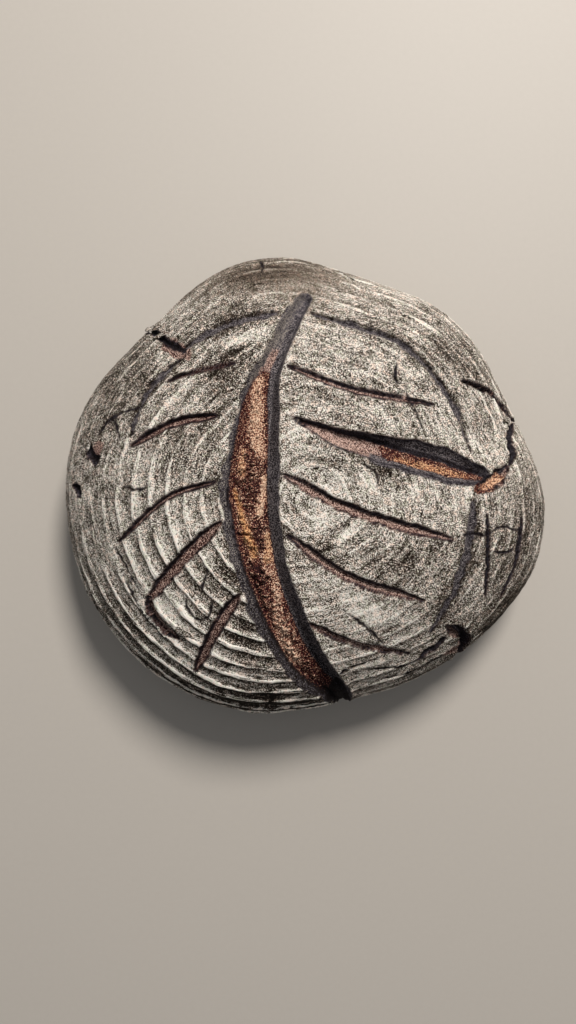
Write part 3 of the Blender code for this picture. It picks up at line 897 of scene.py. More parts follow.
def cut_wide_vein(crust, trail, settings):
    """Opens the widest vein: an overhung wall above, dark partly as painted shade, and dough that
    opens into crumb.

    The share q goes from -1 at its lower lip to 1 at its upper one.
    """
    near, across, along = place_by_trail(crust.base, trail, VEIN_REACH)
    fine, ragged = crust.noise(1.6, 10, near), crust.noise(3, 11, near)
    half = half_width_at(trail, along) * (1 + 0.14 * crust.noise(5, 9, near))
    half = half * smoothstep(-0.02, 0.06, along)
    inside = half - np.abs(across)
    q = (across + 0.4 * MM * fine) / np.maximum(half, 0.3 * MM)
    lean = vein_lean(along)
    crust.dig(near, vein_floor(q, half, along, settings))
    lip = 0.6 * MM * np.exp(-(((q - 1.2) / 0.2) ** 2))
    crust.raise_lip(near, lip * smoothstep(0.1, 0.4, along))

    edge = inside + np.where(across < 0, 1.6 * ragged - 0.3, 0.2) * MM
    crust.mark("raw", near, np.minimum(edge, (0.66 - along) * VEIN_SPAN))
    crust.mark("skin", near, np.minimum(edge, (along - 0.36) * VEIN_SPAN))
    # The overhung upper wall takes the dark wall colour, partly as its painted shade, with a
    # near-black line of painted shade near its foot
    crust.mark("wall", near, np.minimum((q - lean) * half, inside + 0.1 * MM))
    crust.mark("painted_shade", near, np.minimum(0.9 * MM - np.abs((q - lean - 0.15) * half), inside))
    lower_lip = np.minimum((-0.5 - q) * half, inside + 1.2 * MM)
    crust.mark("wall", near, np.minimum(lower_lip, (along - 0.42) * VEIN_SPAN))
    # Painted shade just inside the lip: a thin dark line, then a wider near-black one
    crust.line("wall", near, inside - LIP_LINE_AT, LIP_LINE_WIDTH)
    crust.line("painted_shade", near, inside - 0.2 * MM, (0.2 + 0.4 * fine) * MM)
    started = (along - VEIN_CRUMB_START) * 50 * MM + 3 * MM * ragged
    crust.mark("crumb", near, np.minimum(np.minimum(q + 0.62, lean - q) * half, started))
    dusty = 0.7 * smoothstep(0.60, 0.25, along)
    crust.dusty[near] = np.where(inside > -1.5 * MM, dusty, 0)


def bare_vein_end(crust, trail):
    """Bares ragged crumb in the tear at the widest vein's end."""
    near, across, along = place_by_trail(crust.base, trail, 5 * MM)
    inside = np.minimum(VEIN_END_CRUMB * MM - np.abs(across), (0.8 - along) * 17 * MM)
    crust.mark("crumb", near, inside + 1.5 * MM * crust.noise(3, 15, near))


def from_spot(crust, at_x, at_y, reach_x, reach_y, turn):
    """How far the points lie from a spot along its own two axes, in its own two reaches."""
    c, s = math.cos(math.radians(turn)), math.sin(math.radians(turn))
    x, y = crust.x - at_x, crust.y - at_y
    return (x * c + y * s) / reach_x, (y * c - x * s) / reach_y


def flake_off(crust):
    """Bares ragged ellipses where flakes of crust came off, and half a millimetre down."""
    above = crust.base[:, 2] > WAIST_HEIGHT
    ragged = 0.35 * crust.noise(3, 14)
    for place in FLAKED_PLACES:
        share = 1 - np.hypot(*from_spot(crust, *place)) + ragged
        near = np.flatnonzero((share > -1) & above)
        inside = share[near] * min(place[2:4]) * MM
        crust.dig(near, 0.6 * MM * smoothstep(-0.1 * MM, 0.6 * MM, inside))
        crust.mark("raw", near, inside)
        crust.dust(near, inside > 0, FLAKED_DUSTY)


def add_spots(crust, level, spots):
    """Adds to a level a bell curve round each spot, along the spot's own two reaches."""
    for *place, more in spots:
        u, v = from_spot(crust, *place)
        level = level + more * np.exp(-(u**2) - v**2)
    return level


def ring_strength(crust):
    """How clear the rings are.

    They are strongest on the near left side, faint over the right of the leaf but for a
    swirl at the crown, weak on the far right rim, and worn at the left rim and far left.
    """
    x, y = crust.x, crust.y
    near_left = 0.5 + 0.5 * np.cos(crust.bearing - RINGS_NEAR_LEFT)
    strength = 0.22 + 0.88 * near_left**2.6
    strength *= smoothstep(0.5, 4.5, crust.rings_out)
    leaf_right = smoothstep(-20, 0, x) * smoothstep(92, 74, np.hypot(x * 0.95, y + 5))
    strength *= 1 - 0.70 * leaf_right
    strength += 0.27 * np.exp(-(((crust.rings_out - 2) / 1.4) ** 2))
    far_right = (0.5 + 0.5 * np.cos(crust.bearing - RINGS_FAR_RIGHT)) ** 3
    strength += 0.40 * far_right * smoothstep(0.66, 0.84, crust.to_waist)
    strength *= 1 + 0.5 * crust.noise(16, 21)
    strength *= 1 + 0.35 * crust.noise(7, 24)
    strength *= 1 - 0.6 * smoothstep(-84, -100, x) * smoothstep(-60, -30, y)
    strength *= 1 - 0.4 * smoothstep(-10, -40, x) * smoothstep(20, 50, y)
    return np.clip(strength, 0, 1.4) * smoothstep(0.75, 0.25, crust.to_foot)


def ring_phase(crust):
    """Count of rings from the crown, with the cane's slight waver."""
    waver = 0.10 * crust.noise(30, 22) + 0.06 * crust.noise(7, 23)
    return crust.rings_out + waver + 0.04 * crust.noise(2.8, 25)


def flour_level(crust, amount, blotchy):
    """How thick the flour lies: an even dust, patches, and less on the flank."""
    level = add_spots(crust, amount - crust.worn, FLOUR_SPOTS)
    level += (0.10 * crust.noise(14, 31) + 0.08 * crust.noise(5, 32)) * blotchy
    level -= 0.08 * smoothstep(0.84, 1.0, crust.to_waist)
    return level - 0.08 * smoothstep(0, 0.6, crust.to_foot)


def bare_relief(crust, settings):
    """Height of the uncut crust: ring crests, lumps and grain.

    Between two crests the cane pressed a round hollow, so the height is a power of the
    distance from the hollow's middle.
    """
    phase = ring_phase(crust)
    from_hollow = 2 * np.abs(phase - np.floor(phase) - 0.5)
    rings = settings.ring_relief * ring_strength(crust) * (from_hollow**3.2 - 0.25)
    lumps = settings.lump_relief * (crust.noise(19, 41) + 0.4 * crust.noise(7, 42))
    grain = settings.grain_relief * (crust.noise(2.4, 43) + 0.6 * crust.noise(1.4, 44))
    return (rings + lumps + grain) * smoothstep(1.0, 0.55, crust.to_foot)


def close_with_base(points, count):
    """Adds the flat underside to a disk grid: rings that shrink from its edge to a centre.

    Returns all points and the underside's faces.
    """
    index = np.arange(count * count).reshape(count, count)
    edge = np.concatenate((index[0, :-1], index[:-1, -1], index[-1, :0:-1], index[:0:-1, 0]))
    rim = points[edge]
    centre = np.array((rim[:, 0].mean(), rim[:, 1].mean(), 0.0))
    shares = np.linspace(1, 0, BASE_RINGS + 1)[1:-1]
    rings = [centre + (rim - centre) * share for share in shares]
    all_points = np.concatenate((points, *rings, centre[None]))
    loops = [edge]
    for number in range(len(rings)):
        loops.append(len(points) + number * len(edge) + np.arange(len(edge)))
    faces = []
    for outer, inner in zip(loops, loops[1:]):
        faces.append(np.stack((outer, inner, np.roll(inner, -1), np.roll(outer, -1)), axis=1))
    last = loops[-1]
    tip = np.full(len(last), len(all_points) - 1)
    fan = np.stack((last, tip, np.roll(last, -1)), axis=1)
    return all_points, np.concatenate(faces), fan


def grid_quads(rows, columns, wrap=False):
    """Faces of a grid whose rows follow each other, closed round its columns if asked."""
    index = np.arange(rows * columns).reshape(rows, columns)
    right = np.roll(index, -1, axis=1) if wrap else index[:, 1:]
    left = index if wrap else index[:, :-1]
    return np.stack((left[:-1], right[:-1], right[1:], left[1:]), axis=-1).reshape(-1, 4)


def make_mesh_object(name, points, face_groups, attributes):
    """A smooth object at the origin from arrays of points, faces and point attributes."""
    mesh = bpy.data.meshes.new(name)
    sizes = np.concatenate([np.full(len(g), g.shape[1]) for g in face_groups])
    corners = np.concatenate([g.ravel() for g in face_groups])
    mesh.vertices.add(len(points))
    mesh.vertices.foreach_set("co", points.astype(np.float32).ravel())
    mesh.loops.add(len(corners))
    mesh.loops.foreach_set("vertex_index", corners.astype(np.int32))
    mesh.polygons.add(len(sizes))
    starts = np.concatenate(((0,), np.cumsum(sizes)[:-1]))
    mesh.polygons.foreach_set("loop_start", starts.astype(np.int32))
    mesh.update(calc_edges=True)
    mesh.validate()
    mesh.shade_smooth()
    for key, values in attributes.items():
        layer = mesh.attributes.new(key, "FLOAT", "POINT")
        full = np.zeros(len(points), np.float32)
        full[: len(values)] = values
        layer.data.foreach_set("value", full)
    made = bpy.data.objects.new(name, mesh)
    bpy.context.scene.collection.objects.link(made)
    return made


def add_node(tree, kind, inputs=(), output=0, stops=(), **settings):
    """Adds a node with its properties, colour stops and inputs, and returns one output.

    The inputs come by the names or numbers of their sockets, or as a plain row in order.
    """
    node = tree.nodes.new(kind)
    for name, value in settings.items():
        setattr(node, name, value)
    for name, value in inputs.items() if isinstance(inputs, dict) else enumerate(inputs):
        if isinstance(value, bpy.types.NodeSocket):
            tree.links.new(value, node.inputs[name])
        else:
            node.inputs[name].default_value = value
    for number, (position, colour) in enumerate(stops):
        elements = node.color_ramp.elements
        element = elements[number] if number < len(elements) else elements.new(position)
        element.position = position
        element.color = tuple(colour)
    return node.outputs[output] if node.outputs else node


def new_material(name):
    """An empty material: itself, its tree and its Object coordinates."""
    material = bpy.data.materials.new(name)
    material.use_nodes = True
    material.node_tree.nodes.clear()
    place = add_node(material.node_tree, "ShaderNodeTexCoord", output="Object")
    return material, material.node_tree, place


def lay_finish(tree, name, ragged, colour, finish):
    """Lays a finish over a colour inside its edge, whose distance the attribute holds.

    Noise less a half, times 2.6 mm, is added to the distance, and the finish comes in from
    0.4 mm outside the edge to 0.4 mm inside it.
    """
    inside = add_node(tree, "ShaderNodeAttribute", output="Fac", attribute_name=name)
    rough = add_node(
        tree, "ShaderNodeMath", (ragged, 2.6 * MM, -1.3 * MM), operation="MULTIPLY_ADD"
    )
    edge = add_node(tree, "ShaderNodeMath", (inside, rough), operation="ADD")
    share = add_node(
        tree, "ShaderNodeMapRange",
        {"Value": edge, "From Min": -0.4 * MM, "From Max": 0.4 * MM},
        interpolation_type="SMOOTHSTEP",
    )
    return add_node(
        tree, "ShaderNodeMix", {0: share, 6: colour, 7: finish}, output=2, data_type="RGBA"
    )


def crumb_colour(tree, place, cuts):
    """Colour of torn crumb, and its specks: pits, toasted crumb and pale tips.

    The paleness attribute plus specks of bran, drawn coarser than real at 0.6 mm, picks a
    colour, and the golden attribute takes blue out of it.
    """
    paleness, golden = (
        add_node(tree, "ShaderNodeAttribute", output="Fac", attribute_name=name)
        for name in ("tone", "golden")
    )
    speck = add_node(
        tree, "ShaderNodeTexNoise",
        {"Vector": place, "Scale": 1 / (0.6 * MM), "Detail": 1.0, "Roughness": 0.6},
    )
    level = add_node(
        tree, "ShaderNodeMath", (speck, CRUMB_SPECKS, paleness), operation="MULTIPLY_ADD"
    )
    level = add_node(tree, "ShaderNodeMath", (level, CRUMB_OFFSET), operation="SUBTRACT")
    colour = add_node(
        tree, "ShaderNodeValToRGB", (level,),
        stops=((0.02, cuts.crumb_pit), (0.34, cuts.crumb_brown), (0.60, cuts.crumb_tan),
               (0.96, cuts.crumb_tip)),
    )
    warmed = add_node(
        tree, "ShaderNodeMix", {0: golden, 6: colour, 7: tuple(cuts.golden)}, output=2,
        data_type="RGBA", blend_type="MULTIPLY",
    )
    return warmed, speck


def crust_material(crust, cuts):
    """Floured rye crust baked dark.

    Rye flour from the basket lies in thick lines on the ring crests and as a thin dust
    between them, over brown crust with black bran specks. Where the skin stretched or the
    cuts opened there is no flour. The eye gets a matt, grainy grey-brown. A real grain of
    flour is a tenth of a millimetre, and grain_size draws it coarser so that it shows.
    """
    known = bpy.data.materials.get("floured_rye_crust")
    if known:
        return known
    material, tree, place = new_material("floured_rye_crust")
    # Grain, clumps and flecks of flour and bran
    grain, clump, fleck = (
        add_node(
            tree, "ShaderNodeTexNoise",
            {"Vector": place, "Scale": 1 / size, "Detail": detail, "Roughness": 0.6},
        )
        for size, detail in ((crust.grain_size, 0.6), (6.5 * MM, 4.0), (2.3 * MM, 2.0))
    )
    phase, strength, flour, blotchy, dusty = (
        add_node(tree, "ShaderNodeAttribute", output="Fac", attribute_name=name)
        for name in ("ring", "ring_strength", "flour", "blotchy", "dusty")
    )
    # Streaks along the rings: the noise changes slowly along a ring and quickly across it
    wide = add_node(
        tree, "ShaderNodeVectorMath", {0: place, "Scale": 1 / (14 * MM)}, operation="SCALE"
    )
    across = add_node(tree, "ShaderNodeMath", (phase, 5.0), operation="MULTIPLY")
    streak = add_node(
        tree, "ShaderNodeTexNoise",
        {"Vector": wide, "W": across, "Scale": 1.0, "Detail": 3.0, "Roughness": 0.65},
        noise_dimensions="4D",
    )
    # The line of flour that each ring holds, with the painted shade just outside its crest,
    # broken up by the streaks
    turn = add_node(tree, "ShaderNodeMath", (phase,), operation="FRACT")
    crest = add_node(
        tree, "ShaderNodeValToRGB", (turn,),
        stops=[(position, (grey, grey, grey, 1)) for position, grey in RING_FLOUR_AND_SHADE],
    )
    patchy = add_node(
        tree, "ShaderNodeMapRange",
        {"Value": streak, "From Min": 0.36, "From Max": 0.62, "To Min": 0.1, "To Max": 1.35},
    )
    held = add_node(tree, "ShaderNodeMath", (strength, patchy), operation="MULTIPLY")
    lifted = add_node(tree, "ShaderNodeMath", (crest, 0.40), operation="SUBTRACT")
    total = add_node(tree, "ShaderNodeMath", (held, lifted), operation="MULTIPLY")
    total = add_node(tree, "ShaderNodeMath", (total, 1.2), operation="MULTIPLY")
    # The noises lie round a half, so half of what they add is taken off again
    noises = ((fleck, 0.8), (clump, 0.7), (streak, 1.4))
    for noise in noises:
        total = add_node(tree, "ShaderNodeMath", (*noise, total), operation="MULTIPLY_ADD")
    middle = sum(amount for _, amount in noises) / 2
    total = add_node(tree, "ShaderNodeMath", (total, middle), operation="SUBTRACT")
    level = add_node(tree, "ShaderNodeMath", (total, blotchy, flour), operation="MULTIPLY_ADD")
    # Blotchy flour keeps the fine grain that it has elsewhere, and even flour has less of it
    even = add_node(tree, "ShaderNodeMath", (blotchy, 1.0), operation="MINIMUM")
    speckle = add_node(tree, "ShaderNodeMath", (grain, 3.0, -1.5), operation="MULTIPLY_ADD")
    speckle = add_node(tree, "ShaderNodeMath", (speckle, even), operation="MULTIPLY")
    level = add_node(tree, "ShaderNodeMath", (level, speckle), operation="ADD")
    colour = add_node(
        tree, "ShaderNodeValToRGB", (level,),
        stops=((0.06, crust.char), (0.30, crust.crust), (0.52, crust.dusted),
               (0.88, crust.flour_white)),
    )
    hue = add_node(tree, "ShaderNodeValToRGB", (fleck,), stops=HUES)
    colour = add_node(
        tree, "ShaderNodeMix", {0: 1.0, 6: colour, 7: hue}, output=2, data_type="RGBA",
        blend_type="MULTIPLY",
    )

    # Opened dough has the same flecks and grain, and is lighter where it is dustier
    flecked = add_node(tree, "ShaderNodeMath", (fleck, 0.8, speckle), operation="MULTIPLY_ADD")
    dust = add_node(tree, "ShaderNodeMath", (dusty, 0.30, 0.10), operation="MULTIPLY_ADD")
    flecked = add_node(tree, "ShaderNodeMath", (flecked, dust), operation="ADD")
    floury = add_node(tree, "ShaderNodeMath", (speckle, 0.9, flecked), operation="MULTIPLY_ADD")
    # The wall colour is partly painted shade, and the near-black finish is painted shade
    ramps = {
        "skin": (flecked, ((0.05, crust.char), (0.5, crust.skin), (0.95, crust.dusted))),
        "raw": (floury, ((0.05, cuts.crumb_pit), (0.5, cuts.raw), (1.0, cuts.raw_light))),
        "wall": (flecked, ((0.1, crust.char), (0.5, cuts.wall), (0.95, cuts.wall_light))),
        "painted_shade": (flecked, ((0.45, PAINTED_SHADE_BLACK), (1.05, cuts.wall))),
    }
    looks = {
        name: add_node(tree, "ShaderNodeValToRGB", (value,), stops=stops)
        for name, (value, stops) in ramps.items()
    }
    looks["crumb"], _ = crumb_colour(tree, place, cuts)
    for name in FINISHES:
        colour = lay_finish(tree, name, grain, colour, looks[name])

    # The flour itself stands up a little
    height = add_node(tree, "ShaderNodeMath", (held, crest), operation="MULTIPLY")
    normal = add_node(
        tree, "ShaderNodeBump", {"Height": height, "Strength": 0.7, "Distance": 0.7 * MM}
    )
    normal = add_node(
        tree, "ShaderNodeBump",
        {"Height": grain, "Strength": 0.7, "Distance": 0.5 * MM, "Normal": normal},
    )
    surface = add_node(
        tree, "ShaderNodeBsdfPrincipled",
        {"Base Color": colour, "Normal": normal, "Roughness": 0.9, "Specular IOR Level": 0.12},
    )
    add_node(tree, "ShaderNodeOutputMaterial", {"Surface": surface})
    return material


def crumb_material(cuts):
    """Torn rye crumb toasted in the oven.

    Where the loaf burst, the sticky crumb tore into rough points that browned and dark
    hollows between them. The eye gets a rough, speckled orange-brown with no shine.
    """
    known = bpy.data.materials.get("torn_rye_crumb")
    if known:
        return known
    material, tree, place = new_material("torn_rye_crumb")
    colour, speck = crumb_colour(tree, place, cuts)
    normal = add_node(
        tree, "ShaderNodeBump", {"Height": speck, "Strength": 0.8, "Distance": 0.6 * MM}
    )
    surface = add_node(
        tree, "ShaderNodeBsdfPrincipled",
        {"Base Color": colour, "Normal": normal, "Roughness": 0.85, "Specular IOR Level": 0.2},
    )
    add_node(tree, "ShaderNodeOutputMaterial", {"Surface": surface})
    return material


def floor_material(colour):
    """Matt pale laminate: an even, plain finish with a trace of fine tooth."""
    material, tree, place = new_material("matt_pale_laminate")
    tooth = add_node(
        tree, "ShaderNodeTexNoise", {"Vector": place, "Scale": 1 / (3 * MM), "Detail": 2.0}
    )
    darker = tuple(0.96 * c for c in colour[:3]) + (1.0,)
    shown = add_node(
        tree, "ShaderNodeMix", {0: tooth, 6: tuple(colour), 7: darker}, output=2,
        data_type="RGBA",
    )
    surface = add_node(
        tree, "ShaderNodeBsdfPrincipled", {"Base Color": shown, "Roughness": 0.6}
    )
    add_node(tree, "ShaderNodeOutputMaterial", {"Surface": surface})
    return material


def crumb_strip(name, trail, start, end, edges, floor_of, settings, seed):
    """A closed strip of torn crumb along a cut.

    Across the cut, from one edge (-1) to the other (1), it follows the cut's floor and bulges
    from it as 1 less the fourth power of the place. Torn pieces are added as the absolute
    value of noise, so that they make points with creases between them, and a plain
    underside closes it.
    """
    length = np.linalg.norm(np.diff(trail.point, axis=0), axis=1).sum() * (end - start)
    rows = int(length / CRUMB_CELL)
    along = np.linspace(start, end, rows)
    at, left, right = np.array(edges).T
    half = half_width_at(trail, along)
    low, high = np.interp(along, at, left) * half, np.interp(along, at, right) * half
    columns = int((high - low).max() / CRUMB_CELL)
    point, side, normal = (
        carried(trail, part, along)[:, None] for part in (trail.point, trail.side, trail.normal)
    )
    # It narrows towards both ends, and its edges are ragged
    v = np.linspace(-1, 1, columns)[None, :, None]
    ends = np.sin(math.pi * np.linspace(0, 1, rows)) ** 0.35
    middle = ((low + high) / 2)[:, None, None]
    reach = ((high - low) / 2 * (0.25 + 0.75 * ends))[:, None, None]
    flat = point + side * (middle + v * reach)
    ragged = lattice_noise(flat, 4.5 * MM, seed) * 0.9 * MM
    flat = flat + side * ragged[..., None] * np.abs(v) ** 2
    # Torn pieces of three sizes, each half as wide as the one before
    torn = 0 * ragged
    for step, rise in enumerate((1, 0.55, 0.30)):
        size = settings.crumb_size / 2**step
        torn = torn + rise * np.abs(lattice_noise(flat, size, seed + 2 + step))
    torn = 1.15 * torn - 0.55
    bulge = (1 - np.abs(v[..., 0]) ** 4) * ends[:, None]
    big = 0.5 * settings.crumb_relief * lattice_noise(flat, 7 * MM, seed + 5)
    q = (middle + v * reach)[..., 0] / half[:, None]
    floor = -floor_of(q, half[:, None], along[:, None], settings)
    top_height = floor + bulge * 1.5 * MM - 1.2 * MM
    top_height = top_height + (settings.crumb_relief * torn + big) * (0.35 + 0.65 * bulge)
    top = flat + normal * top_height[..., None]
    # Top and underside make rings along the cut, with a cap at each end
    under = flat + normal * (floor - 2.6 * MM)[..., None]
    ring = np.concatenate((top, under[:, ::-1]), axis=1)
    count = ring.shape[1]
    faces = grid_quads(rows, count, wrap=True)[:, ::-1]
    first = np.arange(columns)
    cap = np.stack((first[:-1], first[1:], count - 1 - first[1:], count - 1 - first[:-1]), axis=1)
    far = cap[:, ::-1] + (rows - 1) * count
    # The ribbons waver, and the points are painted paler and the creases between them darker,
    # as painted light and shade on the torn relief
    wavering = flat + side * (1.6 * MM * lattice_noise(flat, 5 * MM, seed + 6))[..., None]
    tone, golden = crumb_ribbons(wavering)
    tone = tone + 0.12 * lattice_noise(flat, 6 * MM, seed + 7) + 0.46 * (torn - 0.15)
    tone = tone + 0.20 * lattice_noise(flat, 2.4 * MM, seed + 8)
    attributes = {
        key: np.concatenate((values, np.zeros_like(values)), axis=1).ravel()
        for key, values in (("tone", tone), ("golden", golden))
    }
    return make_mesh_object(name, ring.reshape(-1, 3), [faces, cap, far], attributes)


def closed_ball(rows, columns):
    """Unit ball from two angles, closed by one point at each pole: its points and faces."""
    polar = np.linspace(0, math.pi, rows + 2)[1:-1, None]
    turn = np.linspace(0, 2 * math.pi, columns, endpoint=False)[None]
    rings = np.stack(
        (np.sin(polar) * np.cos(turn), np.sin(polar) * np.sin(turn), np.cos(polar) + 0 * turn),
        axis=-1,
    ).reshape(-1, 3)
    points = np.concatenate((rings, [(0, 0, 1), (0, 0, -1)]))
    first = np.arange(columns)
    last = first + (rows - 1) * columns
    top = np.stack((first, np.roll(first, -1), np.full(columns, len(rings))), axis=1)
    bottom = np.stack((np.roll(last, -1), last, np.full(columns, len(rings) + 1)), axis=1)
    sides = grid_quads(rows, columns, wrap=True)[:, ::-1]
    return points, sides, top, bottom


def crust_flake(number, x, y, length, width, turn, lift):
    """One torn flake of crust: a flat ball with a ragged outline whose far end curls up.

    Its outline is scaled by noise of the angle, it is 1.2 mm thick, and it rises by the
    square of the distance along it.
    """
    unit, *faces = closed_ball(14, 36)
    angle = np.arctan2(unit[:, 1], unit[:, 0])
    ring = np.stack((np.cos(angle), np.sin(angle), 0 * angle), axis=1)
    ragged = 1 + 0.30 * lattice_noise(ring + number * 3.1, 0.45, 70)
    flat = unit * (0.5 * length * MM, 0.5 * width * MM, 0.6 * MM) * ragged[:, None]
    along = unit[:, 0] * 0.5 + 0.5
    flat[:, 2] += lift * MM * along**2 + 0.35 * MM * lattice_noise(flat + number, 1.6 * MM, 71)
    walk, bearing = find_on_dough(np.array([x * MM]), np.array([y * MM]))
    centre, normal = dough_point(walk, bearing)[0], dough_normal(walk, bearing)[0]
    heading = np.array((math.cos(math.radians(turn)), math.sin(math.radians(turn)), 0.0))
    heading -= normal * (heading @ normal)
    heading /= np.linalg.norm(heading)
    axes = np.stack((heading, np.cross(normal, heading), normal))
    return flat @ axes + centre, faces


def finish_piece(piece, material):
    """Gives a piece its material and its body."""
    piece.data.materials.append(material)
    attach(piece, "root")


def add_crumb(context, name, trail, ends, edges, floor_of, seed):
    """Builds the torn crumb in one burst, between two shares of the way along it."""
    cuts = context.scene.rye_loaf.cuts
    piece = crumb_strip(name, trail, *ends, edges, floor_of, cuts, seed)
    finish_piece(piece, crumb_material(cuts))
    return {"FINISHED"}


class LOAF_OT_crust(bpy.types.Operator):
    """Builds the floury crust with its rings, cuts and tears."""

    bl_idname = "rye_loaf.crust"
    bl_label = "Crust"

    def execute(self, context):
        settings = context.scene.rye_loaf
        trails = all_trails()
        share, bearing = disk_grid(GRID)
        crust = Crust(*focused(walk_of(share), bearing, trails))
        relief = bare_relief(crust, settings.crust)
        for group, kind in ((LEAF_EDGES, "edge"), (VEINS, "vein"), (TEARS, "tear")):
            for name, cut in group.items():
                crust.narrow(trails[name], cut, kind)
        for number in range(len(HAIRLINES)):
            crust.narrow(trails[f"hairline_{number}"], HAIRLINE, "hairline")
        flake_off(crust)
        cut_wide_vein(crust, trails["wide_vein"], settings.cuts)
        bare_vein_end(crust, trails["vein_end"])
        cut_spine(crust, trails["spine"], settings.cuts)
        # A cut wipes out most of the relief, and its lip stands only on uncut crust
        kept = 1 - 0.75 * smoothstep(0, 1.2 * MM, crust.depth)
        height = relief * kept + crust.lip * (crust.depth < 0.05 * MM) - crust.depth
        points = crust.base + height[:, None] * crust.normal
        # The grid's outer edge lies on the ground
        points[share > 1 - 0.5 / GRID, 2] = 0
        points[:, 2] = np.clip(points[:, 2], 0, CAD_TOP + 0.5 * MM)
        blotchy = add_spots(crust, np.ones(len(share)), BLOTCHY_SPOTS)
        attributes = {
            "ring": ring_phase(crust),
            "ring_strength": ring_strength(crust) * (1 - smoothstep(0, 1 * MM, crust.depth)),
            "flour": flour_level(crust, settings.crust.flour, blotchy),
            "blotchy": blotchy,
            "dusty": crust.dusty,
        }
        attributes["tone"], attributes["golden"] = crumb_ribbons(crust.base)
        attributes |= crust.finish
        points, quads, fan = close_with_base(points, GRID)
        faces = [grid_quads(GRID, GRID), quads, fan]
        piece = make_mesh_object("crust", points, faces, attributes)
        finish_piece(piece, crust_material(settings.crust, settings.cuts))
        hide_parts(CAD_NODE)
        return {"FINISHED"}


class LOAF_OT_spine_crumb(bpy.types.Operator):
    """Builds the torn crumb on the floor of the wide middle cut."""

    bl_idname = "rye_loaf.spine_crumb"
    bl_label = "Middle Crumb"

    def execute(self, context):
        trail = trail_on_dough(SPINE, SPINE_OVER_RIM)
        ends = (SPINE_CRUMB_START, SPINE_CRUMB_END)
        return add_crumb(context, "middle_crumb", trail, ends, SPINE_CRUMB, spine_floor, 60)


class LOAF_OT_vein_crumb(bpy.types.Operator):
    """Builds the torn crumb in the widest side cut."""

    bl_idname = "rye_loaf.vein_crumb"
    bl_label = "Side Crumb"

    def execute(self, context):
        trail = trail_on_dough(WIDE_VEIN)
        ends = (VEIN_CRUMB_START, VEIN_CRUMB_END)
        return add_crumb(context, "side_crumb", trail, ends, VEIN_CRUMB, vein_floor, 80)


class LOAF_OT_flakes(bpy.types.Operator):
    """Builds the torn flakes of crust that stand up at the tears."""

    bl_idname = "rye_loaf.flakes"
    bl_label = "Flakes"

    def execute(self, context):
        settings = context.scene.rye_loaf
        parts = [crust_flake(number, *flake) for number, flake in enumerate(FLAKES)]
        points = np.concatenate([flake_points for flake_points, _ in parts])
        start = len(parts[0][0])
        groups = []
        for number, (_, faces) in enumerate(parts):
            groups += [group + number * start for group in faces]
        # A little barer than the crust, between two rings and with no finish laid over it
        level = settings.crust.flour - 0.2 + np.zeros(len(points))
        attributes = {"flour": level, "ring": 0.5 + 0 * level, "blotchy": 1 + 0 * level}
        attributes |= {name: -EDGE_LIMIT + 0 * level for name in FINISHES}
        piece = make_mesh_object("torn_flakes", points, groups, attributes)
        finish_piece(piece, crust_material(settings.crust, settings.cuts))
        return {"FINISHED"}


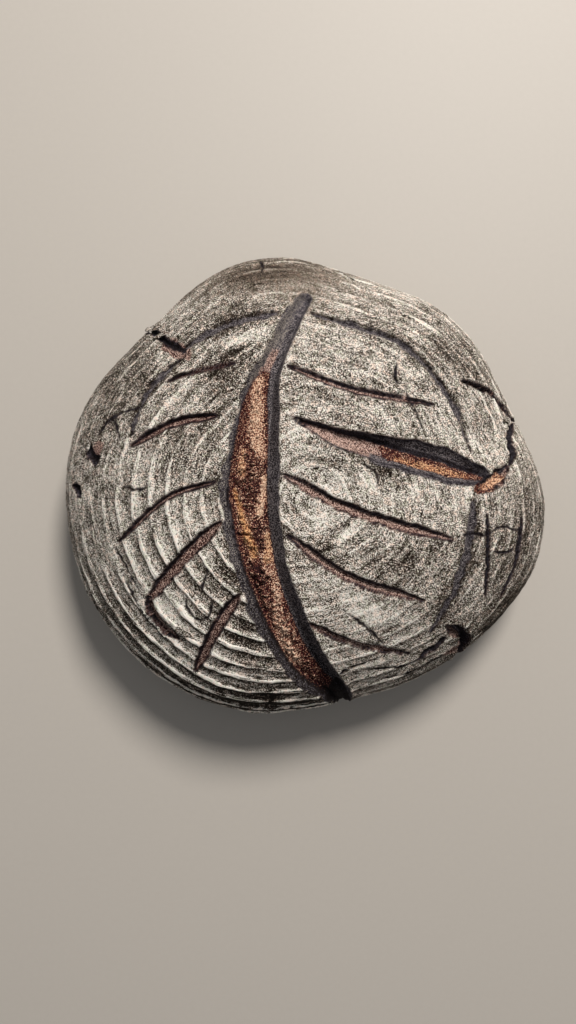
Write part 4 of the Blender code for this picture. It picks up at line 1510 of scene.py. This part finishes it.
class LOAF_OT_stage(bpy.types.Operator):
    """Builds the pale floor, the soft light and the camera above the loaf."""

    bl_idname = "rye_loaf.stage"
    bl_label = "Stage"

    def execute(self, context):
        stage = context.scene.rye_loaf.stage
        ends = (-FLOOR_REACH, FLOOR_REACH)
        points = np.array([(x, y, 0.0) for x in ends for y in ends])
        floor = make_mesh_object("floor", points, [np.array([(0, 2, 3, 1)])], {})
        floor.data.materials.append(floor_material(stage.floor))

        light = bpy.data.lights.new("key_light", "AREA")
        light.shape = "DISK"
        light.size = stage.key_size
        light.energy = stage.key_power
        light.color = tuple(stage.key_colour)[:3]
        key = bpy.data.objects.new("key_light", light)
        key.location = tuple(stage.key_place)
        key.rotation_euler = (-key.location).to_track_quat("-Z", "Y").to_euler()
        context.scene.collection.objects.link(key)

        world = bpy.data.worlds.new("soft_room")
        world.use_nodes = True
        sky = world.node_tree.nodes["Background"]
        sky.inputs["Color"].default_value = tuple(stage.sky)
        sky.inputs["Strength"].default_value = stage.sky_strength
        context.scene.world = world
        context.scene.view_settings.view_transform = "Standard"

        camera = bpy.data.cameras.new("camera_above")
        camera.lens = camera.sensor_width / 2 / math.tan(stage.view_height / 2)
        camera.clip_start = 0.01
        above = bpy.data.objects.new("camera_above", camera)
        above.location = (stage.camera_x, stage.camera_y, stage.camera_height)
        context.scene.collection.objects.link(above)
        context.scene.camera = above
        return {"FINISHED"}


class LOAF_PT_panel(bpy.types.Panel):
    """Lists the loaf's settings and pieces."""

    bl_idname = "LOAF_PT_panel"
    bl_label = "Rye Loaf"
    bl_space_type = "VIEW_3D"
    bl_region_type = "UI"
    bl_category = "Loaf"

    def draw(self, context):
        settings = context.scene.rye_loaf
        for group in (settings.crust, settings.cuts, settings.stage):
            box = self.layout.box()
            for name in group.bl_rna.properties.keys():
                if name not in ("rna_type", "name"):
                    box.prop(group, name)
        for operator in OPERATORS:
            self.layout.operator(operator.bl_idname)


OPERATORS = (
    LOAF_OT_crust, LOAF_OT_spine_crumb, LOAF_OT_vein_crumb, LOAF_OT_flakes, LOAF_OT_stage,
)
CLASSES = (CrustSettings, CutSettings, StageSettings, LoafSettings, *OPERATORS, LOAF_PT_panel)


def register():
    """Registers the classes and gives the scene its settings."""
    for cls in CLASSES:
        bpy.utils.register_class(cls)
    bpy.types.Scene.rye_loaf = PointerProperty(type=LoafSettings)


def unregister():
    """Takes the settings and classes away again."""
    del bpy.types.Scene.rye_loaf
    for cls in reversed(CLASSES):
        bpy.utils.unregister_class(cls)


def main():
    """Builds all pieces and the stage."""
    register()
    bpy.ops.rye_loaf.crust()
    bpy.ops.rye_loaf.spine_crumb()
    bpy.ops.rye_loaf.vein_crumb()
    bpy.ops.rye_loaf.flakes()
    bpy.ops.rye_loaf.stage()


if __name__ == "__main__":
    main()
